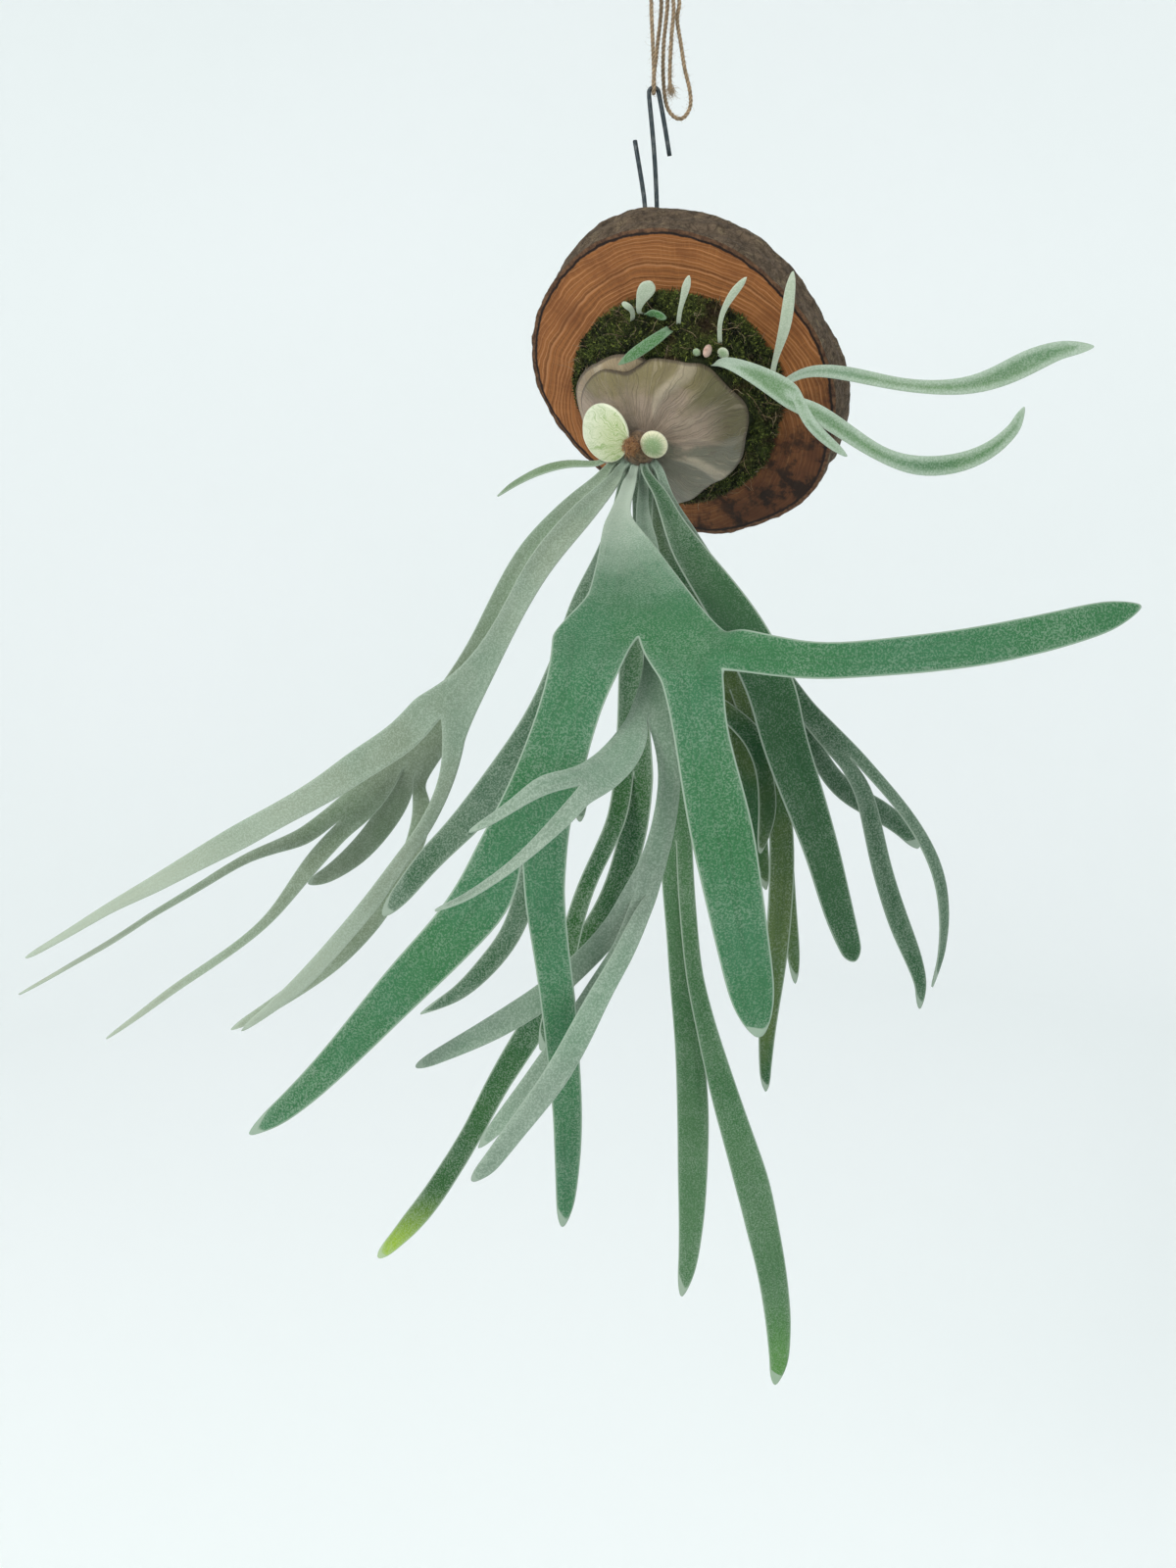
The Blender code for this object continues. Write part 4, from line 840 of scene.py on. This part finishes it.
def scatter(thing, count, seed, keep):
    """Places and normals spread evenly by area over a piece, from the faces that a test keeps."""
    chance = random.Random(seed)
    mesh = thing.data
    mesh.calc_loop_triangles()
    faces = [t for t in mesh.loop_triangles if keep(t.center, t.normal)]
    areas = [t.area for t in faces]
    spots = []
    for face in chance.choices(faces, weights=areas, k=count):
        a, b = chance.random(), chance.random()
        if a + b > 1:
            a, b = 1 - a, 1 - b
        p, q, r = (mesh.vertices[i].co for i in face.vertices)
        spots.append((p + (q - p) * a + (r - p) * b, face.normal.copy(), chance.random()))
    return spots


def sprig_shape(blades, height, width):
    """A tuft of bent blades that stands on the origin, as points and faces."""
    verts = []
    faces = []
    for blade in range(blades):
        turn = math.tau * blade / blades
        way = Vector((math.cos(turn), math.sin(turn), 0))
        side = Vector((-way.y, way.x, 0)) * width / 2
        first = len(verts)
        verts += [way * 0.1 * height - side, way * 0.1 * height + side]
        verts += [way * 0.45 * height + Vector((0, 0, 0.6 * height)) - side * 0.8]
        verts += [way * 0.45 * height + Vector((0, 0, 0.6 * height)) + side * 0.8]
        verts += [way * 0.95 * height + Vector((0, 0, 0.8 * height))]
        faces += [(first, first + 1, first + 3, first + 2), (first + 2, first + 3, first + 4)]
    return verts, faces


def plant_shapes(name, spots, shape, seed, low, high):
    """Copies a small shape onto every place, each turned and sized by chance."""
    chance = random.Random(seed)
    verts = []
    faces = []
    for place, normal, _ in spots:
        size = chance.uniform(low, high)
        lean = (normal + Vector([chance.uniform(-0.5, 0.5) for _ in range(3)])).normalized()
        spin = Matrix.Rotation(chance.uniform(0, math.tau), 3, "Z")
        turn = lean.to_track_quat("Z", "Y").to_matrix() @ spin
        first = len(verts)
        verts += [place + turn @ (v * size) for v in shape[0]]
        faces += [tuple(first + i for i in face) for face in shape[1]]
    return mesh_piece(name, verts, faces)


def thread(start, way, length, radius, chance, normal):
    """Points and faces of one thin bent fibre, three-sided."""
    verts = []
    faces = []
    place = start
    steps = 6
    for step in range(steps + 1):
        across = way.cross(normal).normalized()
        rise = across.cross(way).normalized()
        thick = radius * (1 - 0.7 * step / steps)
        for corner in range(3):
            turn = math.tau * corner / 3
            verts.append(place + (across * math.cos(turn) + rise * math.sin(turn)) * thick)
        if step:
            low = 3 * (step - 1)
            for corner in range(3):
                other = (corner + 1) % 3
                faces.append((low + corner, low + other, low + 3 + other, low + 3 + corner))
        way = (way + Vector([chance.uniform(-0.45, 0.45) for _ in range(3)])).normalized()
        place = place + way * length / steps
    faces.append((2, 1, 0))
    faces.append((3 * steps, 3 * steps + 1, 3 * steps + 2))
    return verts, faces


def threads_piece(name, spots, seed, length, radius, lift, pull=Vector((0, 0, 0))):
    """Thin fibres on a surface: lift stands them up, and pull draws them all one way."""
    chance = random.Random(seed)
    verts = []
    faces = []
    for place, normal, _ in spots:
        way = Vector([chance.uniform(-1, 1) for _ in range(3)])
        way = (way - normal * way.dot(normal) * (1 - lift) + pull).normalized()
        reach = length * chance.uniform(0.5, 1.3)
        more, sides = thread(place + normal * 0.0006, way, reach, radius, chance, normal)
        first = len(verts)
        verts += more
        faces += [tuple(first + i for i in face) for face in sides]
    return mesh_piece(name, verts, faces)


class FERN_OT_moss(bpy.types.Operator):
    """The moss ball, its sprigs and its dry fibres"""

    bl_idname = "fern.moss"
    bl_label = "Moss"

    def execute(self, context):
        sizes = context.scene.fern_sizes
        ball = cad_copy("moss_ball", "moss_mound")
        subdivide(ball, 2)
        lumps = clouds("moss_lumps", 0.006, 3)
        apply_modifier(ball, "DISPLACE", texture=lumps, strength=0.0024, mid_level=0.62)
        # The mound's near-black colours are partly painted shade in the gaps between the sprigs.
        dark = moss_finish("moss", (0.008, 0.010, 0.004), (0.022, 0.028, 0.009), (0.060, 0.085, 0.018), 0.7)
        finish_piece(ball, dark, ("moss_ball",), math.radians(180))
        covers = []
        for node in ("shield_old", "shield_under"):
            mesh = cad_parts[node].data
            points = [v.co for v in mesh.vertices]
            covers.append(BVHTree.FromPolygons(points, [face.vertices for face in mesh.polygons]))

        def open_place(place, normal):
            if normal.dot(OUT) < MOSS_FACING or (TO_BOARD @ place).z < BOARD_GAP:
                return False
            return not any(cover.ray_cast(place + normal * 0.0002, OUT, COVER_REACH)[0] for cover in covers)

        spots = scatter(ball, sizes.moss_sprigs, 11, open_place)
        sprigs = plant_shapes("moss_sprigs", spots, sprig_shape(5, 0.0026, 0.0007), 12, 0.6, 1.5)
        bright = moss_finish("moss_green", (0.006, 0.009, 0.003), (0.060, 0.080, 0.016),
                             (0.32, 0.38, 0.080), 0.90)
        finish_piece(sprigs, bright)
        spots = scatter(ball, sizes.moss_fibres, 21, open_place)
        strands = threads_piece("moss_fibres", spots, 22, 0.014, 0.00022, 0.25)
        dry = fibre_finish("dry_fibre", (0.36, 0.27, 0.15), (0.11, 0.06, 0.028), 140.0)
        finish_piece(strands, dry)
        return {"FINISHED"}


# Shields and growing point ----------------------------------------------------


def raise_folds(piece, folds):
    """Lifts ridges that fan out from the crown, and marks their crests for the skin."""
    crests = []
    for point in piece.data.vertices:
        across, up, _ = TO_BOARD @ point.co
        across -= CROWN_PLACE[0] * MM
        up -= CROWN_PLACE[1] * MM
        reach = math.hypot(across, up)
        wander = 5.0 * math.sin(reach * 150.0)
        start = min(1.0, max(0.0, (reach - 0.012) / 0.020))
        crest = 0.0
        for angle, half, height in folds:
            off = (math.degrees(math.atan2(up, across)) + wander - angle + 180) % 360 - 180
            ridge = math.exp(-(off / half) ** 2) * start
            crest = max(crest, ridge * height / 2.0)
            point.co += OUT * (ridge * height * MM)
        crests.append(min(1.0, crest))
    number_attribute(piece.data, "fold", crests)


def shield_piece(node, name, material, levels, relief=0.0, folds=()):
    piece = cad_copy(node, name)
    rim, edges = sharp_vertices(piece, SHIELD_RIM)
    number_attribute(piece.data, "margin", spread(piece.data, rim))
    crease_edges(piece.data, edges, SHIELD_CREASE)
    subdivide(piece, levels)
    if folds:
        raise_folds(piece, folds)
    if relief:
        wrinkles = clouds(name + "_wrinkles", 0.012, 3)
        apply_modifier(piece, "DISPLACE", texture=wrinkles, strength=relief, direction="Y")
    return finish_piece(piece, material, (node,))


class FERN_OT_shields(bpy.types.Operator):
    """The old papery shields and the two young ones"""

    bl_idname = "fern.shields"
    bl_label = "Shields"

    def execute(self, context):
        old = old_shield_finish("old_shield_skin", False)
        shield_piece("shield_old", "old_shield", old, 2, 0.0016, OLD_FOLDS)
        under = old_shield_finish("under_shield_skin", True)
        shield_piece("shield_under", "under_shield", under, 2, 0.001, UNDER_FOLDS)
        oval = young_shield_finish("oval_skin", BUD_PLACE, 36.0, (0.52, 0.56, 0.33), (0.63, 0.66, 0.50),
                                   (0.20, 0.33, 0.08))
        shield_piece("shield_oval", "oval_shield", oval, 2)
        round_skin = young_shield_finish("round_skin", ROUND_PLACE, 9.0, (0.28, 0.37, 0.20),
                                         (0.76, 0.71, 0.50), (0.20, 0.31, 0.12))
        shield_piece("shield_round", "round_shield", round_skin, 2)
        return {"FINISHED"}


class FERN_OT_growing_point(bpy.types.Operator):
    """The rhizome's end and the rusty bud on it"""

    bl_idname = "fern.growing_point"
    bl_label = "Growing point"

    def execute(self, context):
        sizes = context.scene.fern_sizes
        rhizome = cad_copy("crown", "rhizome_end")
        subdivide(rhizome, 1)
        apply_modifier(rhizome, "DISPLACE", texture=clouds("scales", 0.003), strength=0.0008)
        brown = fibre_finish("rhizome_scales", (0.24, 0.15, 0.08), (0.06, 0.035, 0.018), 380.0)
        finish_piece(rhizome, brown, ("crown",))
        bud = cad_copy("bud", "bud_core")
        subdivide(bud, 1)
        apply_modifier(bud, "DISPLACE", texture=clouds("bud_lumps", 0.0025), strength=0.0012)
        rust = fibre_finish("bud_fuzz", (0.30, 0.135, 0.045), (0.085, 0.032, 0.012), 420.0)
        finish_piece(bud, rust, ("bud",))
        spots = scatter(bud, sizes.bud_hairs, 31, lambda place, normal: True)
        hairs = threads_piece("bud_hairs", spots, 32, 0.0026, 0.00016, 0.8)
        finish_piece(hairs, fibre_finish("bud_hair", (0.46, 0.24, 0.09), (0.16, 0.06, 0.02), 500.0))
        return {"FINISHED"}


# Wire and twine ---------------------------------------------------------------

# The twine's fuzz stays below this height, under the knot, and its end frays over this length, in metres.
FUZZ_TOP = 0.066
FRAYED_LENGTH = 0.003


class FERN_OT_wire(bpy.types.Operator):
    """The wire hook and the staple in the back of the board"""

    bl_idname = "fern.wire"
    bl_label = "Hook and staple"

    def execute(self, context):
        metal = wire_finish()
        for node, name in (("hook", "wire_hook"), ("staple", "wire_staple")):
            rod = cad_copy(node, name)
            _, edges = sharp_vertices(rod, WIRE_RIM)
            crease_edges(rod.data, edges, WIRE_CREASE)
            subdivide(rod, 1)
            finish_piece(rod, metal, (node,))
        return {"FINISHED"}


def ply_profile(radius):
    """A three-lobed outline: the section of a three-ply twine."""
    shape = bpy.data.curves.new("ply_profile", "CURVE")
    line = shape.splines.new("POLY")
    count = 18
    line.points.add(count - 1)
    for k in range(count):
        turn = math.tau * k / count
        reach = radius * (0.66 + 0.50 * abs(math.cos(1.5 * turn)))
        line.points[k].co = (reach * math.cos(turn), reach * math.sin(turn), 0, 1)
    line.use_cyclic_u = True
    outline = bpy.data.objects.new("ply_profile", shape)
    bpy.context.scene.collection.objects.link(outline)
    return outline


def twisted_strand(name, points, radius, pitch):
    """Three-ply twine along a route, as a closed mesh, and the route it follows."""
    route = smooth_route(points, 0.0007)
    shape = bpy.data.curves.new(name, "CURVE")
    shape.dimensions = "3D"
    shape.twist_mode = "MINIMUM"
    shape.use_fill_caps = True
    line = shape.splines.new("POLY")
    line.points.add(len(route) - 1)
    turned = 0.0
    for k, place in enumerate(route):
        if k:
            turned += math.tau * (place - route[k - 1]).length / pitch
        line.points[k].co = (*place, 1)
        line.points[k].tilt = turned
    outline = ply_profile(radius)
    shape.bevel_mode = "OBJECT"
    shape.bevel_object = outline
    strand = bpy.data.objects.new(name, shape)
    bpy.context.scene.collection.objects.link(strand)
    take(strand)
    bpy.ops.object.convert(target="MESH")
    bpy.data.objects.remove(outline)
    strand = bpy.context.object
    edit_all(strand)
    bpy.ops.mesh.remove_doubles(threshold=0.000002)
    bpy.ops.mesh.normals_make_consistent(inside=False)
    object_mode()
    mark_groove_shade(strand.data, route, radius)
    return strand, route


def mark_groove_shade(mesh, route, radius):
    """Painted shade for the valleys between the plies: 1 in the valleys and 0 on their crests."""
    tree = KDTree(len(route))
    for k, place in enumerate(route):
        tree.insert(place, k)
    tree.balance()
    reaches = [tree.find(v.co)[2] / radius for v in mesh.vertices]
    number_attribute(mesh, "groove_shade", [min(1.0, max(0.0, (1.1 - reach) / 0.4)) for reach in reaches])


class FERN_OT_twine(bpy.types.Operator):
    """The twisted twine: its loop on the hook, a slack strand, a cut tail and the knot above"""

    bl_idname = "fern.twine"
    bl_label = "Twine"

    def execute(self, context):
        sizes = context.scene.fern_sizes
        jute_colour = tuple(context.scene.fern_looks.jute)
        jute = fibre_finish("jute", jute_colour, tuple(0.42 * c for c in jute_colour), 420.0)
        under = -TWINE_RADIUS - 0.35
        side = 4.4
        top = TWINE_TOP
        routes = {
            "loop": ((0.2, -0.6, top + 1), (-2, -3, 60), (-2, -4, 44), (-1, -5, 24), (0, -side, 6),
                     (0, -side + 0.8, 2.0), (0, -2.2, under + 0.6), (0, 0, under), (0, 2.2, under + 0.6),
                     (0, side - 0.8, 2.0), (0, side, 6), (2, 5, 24), (4, 4, 44), (3.4, 3, 60),
                     (2.4, 1.8, top + 1)),
            "slack": ((5.0, -1.8, top + 2.2), (7.5, 1, 48), (5.5, 1, 24), (5.8, 4.5, 6), (8.0, 3.5, -8),
                      (13, 2, -14.5), (18, 1, -14.5), (21.6, 1, -8.5), (21.2, 1, 0), (18, 1, 12),
                      (15.5, 0, 25), (13.2, 0, 38), (14, 0, 50), (6.4, 1.8, top + 3.4)),
            "tail": ((2.6, -4.0, top + 2.8), (10.5, -3, 48), (9.8, -3, 27), (9.2, -2, 9), (9.8, -2, 0)),
        }
        knot = self.make_knot(sizes)
        for name, points in routes.items():
            strand, route = twisted_strand(f"twine_{name}_strand", points, TWINE_RADIUS * MM,
                                           sizes.twine_pitch)
            finish_piece(strand, jute, ("twine_" + name,), math.radians(180))
            fuzz = self.make_fuzz(strand, name)
            finish_piece(fuzz, jute)
        finish_piece(knot, jute, ("twine_knot",), math.radians(180))
        return {"FINISHED"}

    def make_knot(self, sizes):
        """Turns of twine wound round each other where the strands are tied."""
        points = []
        for k in range(49):
            turn = math.tau * k / 24
            reach = 3.0 + 1.4 * math.cos(1.5 * turn)
            height = 78.0 + 3.2 * math.sin(1.5 * turn)
            points.append((1.5 + reach * math.cos(turn), 0.9 * reach * math.sin(turn), height))
        strand, _ = twisted_strand("twine_knot_turns", points, TWINE_RADIUS * MM, sizes.twine_pitch)
        return strand

    def make_fuzz(self, strand, name):
        """Loose fibres that stand off the twine, thickest at its cut end."""
        low = min(v.co.z for v in strand.data.vertices)
        spots = scatter(strand, 260, 41, lambda place, normal: place.z < FUZZ_TOP)
        fuzz = threads_piece("twine_" + name + "_fuzz", spots, 42, 0.0036, 0.00007, 0.5)
        if name != "tail":
            return fuzz
        frayed = scatter(strand, 130, 43, lambda place, normal: place.z < low + FRAYED_LENGTH)
        brush = threads_piece("twine_frayed_end", frayed, 44, 0.0065, 0.00011, 0.9, Vector((0.1, 0, -1.6)))
        take(fuzz)
        brush.select_set(True)
        bpy.ops.object.join()
        return fuzz


# Stage ------------------------------------------------------------------------

# The bowl's flat floor and the radius of its curve, its level, its wall's height, in metres.
BOWL_FLOOR = 2.4
BOWL_CURVE = 1.6
BOWL_LEVEL = -1.5
BOWL_WALL = 4.0
BOWL_STEPS = 12
CAMERA_PLACE = (-0.0385, -0.9678, -0.1614)
CAMERA_TILT = math.radians(75)
# The lights look at this place, in the middle of the plant.
LIT_PLACE = Vector((0, -0.1, -0.35))
# Name, place, size in metres, power in watts, colour.
LIGHTS = (
    ("key_light", (-2.0, -2.4, 1.6), 1.3, 62.0, (1.0, 0.985, 0.96)),
    ("fill_light", (2.4, -2.2, 0.2), 2.6, 12.0, (0.90, 0.97, 1.0)),
    ("top_light", (0.3, -0.2, 2.6), 2.6, 24.0, (1.0, 1.0, 1.0)),
)
SKY = (0.90, 0.95, 0.97, 1.0)
SKY_STRENGTH = 0.44


class FERN_OT_stage(bpy.types.Operator):
    """A pale studio bowl, soft lights and the camera"""

    bl_idname = "fern.stage"
    bl_label = "Stage"

    def execute(self, context):
        self.make_camera(context)
        self.make_bowl()
        for light in LIGHTS:
            self.make_light(*light)
        world = context.scene.world or bpy.data.worlds.new("studio")
        context.scene.world = world
        world.use_nodes = True
        sky = world.node_tree.nodes["Background"]
        sky.inputs["Color"].default_value = SKY
        sky.inputs["Strength"].default_value = SKY_STRENGTH
        context.scene.view_settings.view_transform = "Standard"
        return {"FINISHED"}

    def make_camera(self, context):
        lens = bpy.data.cameras.new("view_camera")
        lens.lens = 35.0
        lens.sensor_width = 36.0
        lens.clip_end = 50.0
        camera = bpy.data.objects.new("view_camera", lens)
        camera.location = CAMERA_PLACE
        camera.rotation_euler = (CAMERA_TILT, 0.0, 0.0)
        context.scene.collection.objects.link(camera)
        context.scene.camera = camera

    def make_bowl(self):
        """One surface that is floor in the middle and curves up into the wall all round."""
        deselect()
        bpy.ops.mesh.primitive_circle_add(vertices=96, radius=BOWL_FLOOR, location=(0, 0, BOWL_LEVEL),
                                          fill_type="NGON")
        bowl = bpy.context.object
        bowl.name = "studio_bowl"
        edit_all(bowl)
        bpy.ops.mesh.inset(thickness=0.01)
        bpy.ops.mesh.select_all(action="DESELECT")
        bpy.ops.mesh.select_mode(type="EDGE")
        bpy.ops.mesh.select_non_manifold()
        for step in range(1, BOWL_STEPS + 1):
            turn = math.radians(90 * step / BOWL_STEPS)
            before = math.radians(90 * (step - 1) / BOWL_STEPS)
            grow = (BOWL_FLOOR + BOWL_CURVE * math.sin(turn)) / (BOWL_FLOOR + BOWL_CURVE * math.sin(before))
            rise = BOWL_CURVE * (math.cos(before) - math.cos(turn))
            bpy.ops.mesh.extrude_edges_move(TRANSFORM_OT_translate={"value": (0, 0, rise)})
            bpy.ops.transform.resize(value=(grow, grow, 1.0), center_override=(0, 0, 0))
        bpy.ops.mesh.extrude_edges_move(TRANSFORM_OT_translate={"value": (0, 0, BOWL_WALL)})
        bpy.ops.mesh.select_all(action="SELECT")
        bpy.ops.mesh.normals_make_consistent(inside=True)
        object_mode()
        bpy.ops.object.transform_apply(location=True, rotation=True, scale=True)
        glow = (0.92, 0.96, 0.97)
        pale = Finish("studio_pale", Roughness=0.9, Emission_Color=glow, Emission_Strength=0.07)
        shade = pale.noise(pale.object_place(), 0.6, 2.0)
        bowl.data.materials.append(pale.done(pale.mix(shade, (0.92, 0.93, 0.94), (0.86, 0.90, 0.89))))
        bpy.ops.object.shade_smooth()

    def make_light(self, name, place, size, power, colour):
        lamp = bpy.data.lights.new(name, "AREA")
        lamp.shape = "DISK"
        lamp.size = size
        lamp.energy = power
        lamp.color = colour
        light = bpy.data.objects.new(name, lamp)
        light.location = place
        light.rotation_euler = (LIT_PLACE - Vector(place)).to_track_quat("-Z", "Y").to_euler()
        bpy.context.scene.collection.objects.link(light)


# Panel and registration -------------------------------------------------------

STEPS = (
    FERN_OT_stage, FERN_OT_twine, FERN_OT_wire, FERN_OT_board, FERN_OT_moss, FERN_OT_shields,
    FERN_OT_growing_point, FERN_OT_fronds, FERN_OT_young_plants,
)


class FERN_PT_panel(bpy.types.Panel):
    """Lists the plant's steps and what can be changed"""

    bl_idname = "FERN_PT_panel"
    bl_label = "Staghorn fern"
    bl_space_type = "VIEW_3D"
    bl_region_type = "UI"
    bl_category = "Fern"

    def draw(self, context):
        for group in (context.scene.fern_looks, context.scene.fern_sizes):
            box = self.layout.box()
            for name in group.__annotations__:
                box.prop(group, name)
        for step in STEPS:
            self.layout.operator(step.bl_idname)


CLASSES = (FernLooks, FernSizes, *STEPS, FERN_PT_panel)


def register():
    for cls in CLASSES:
        bpy.utils.register_class(cls)
    bpy.types.Scene.fern_looks = bpy.props.PointerProperty(type=FernLooks)
    bpy.types.Scene.fern_sizes = bpy.props.PointerProperty(type=FernSizes)


def unregister():
    del bpy.types.Scene.fern_looks
    del bpy.types.Scene.fern_sizes
    for cls in reversed(CLASSES):
        bpy.utils.unregister_class(cls)


def main():
    register()
    bpy.ops.fern.stage()
    bpy.ops.fern.twine()
    bpy.ops.fern.wire()
    bpy.ops.fern.board()
    bpy.ops.fern.moss()
    bpy.ops.fern.shields()
    bpy.ops.fern.growing_point()
    bpy.ops.fern.fronds()
    bpy.ops.fern.young_plants()
    deselect()


if __name__ == "__main__":
    main()
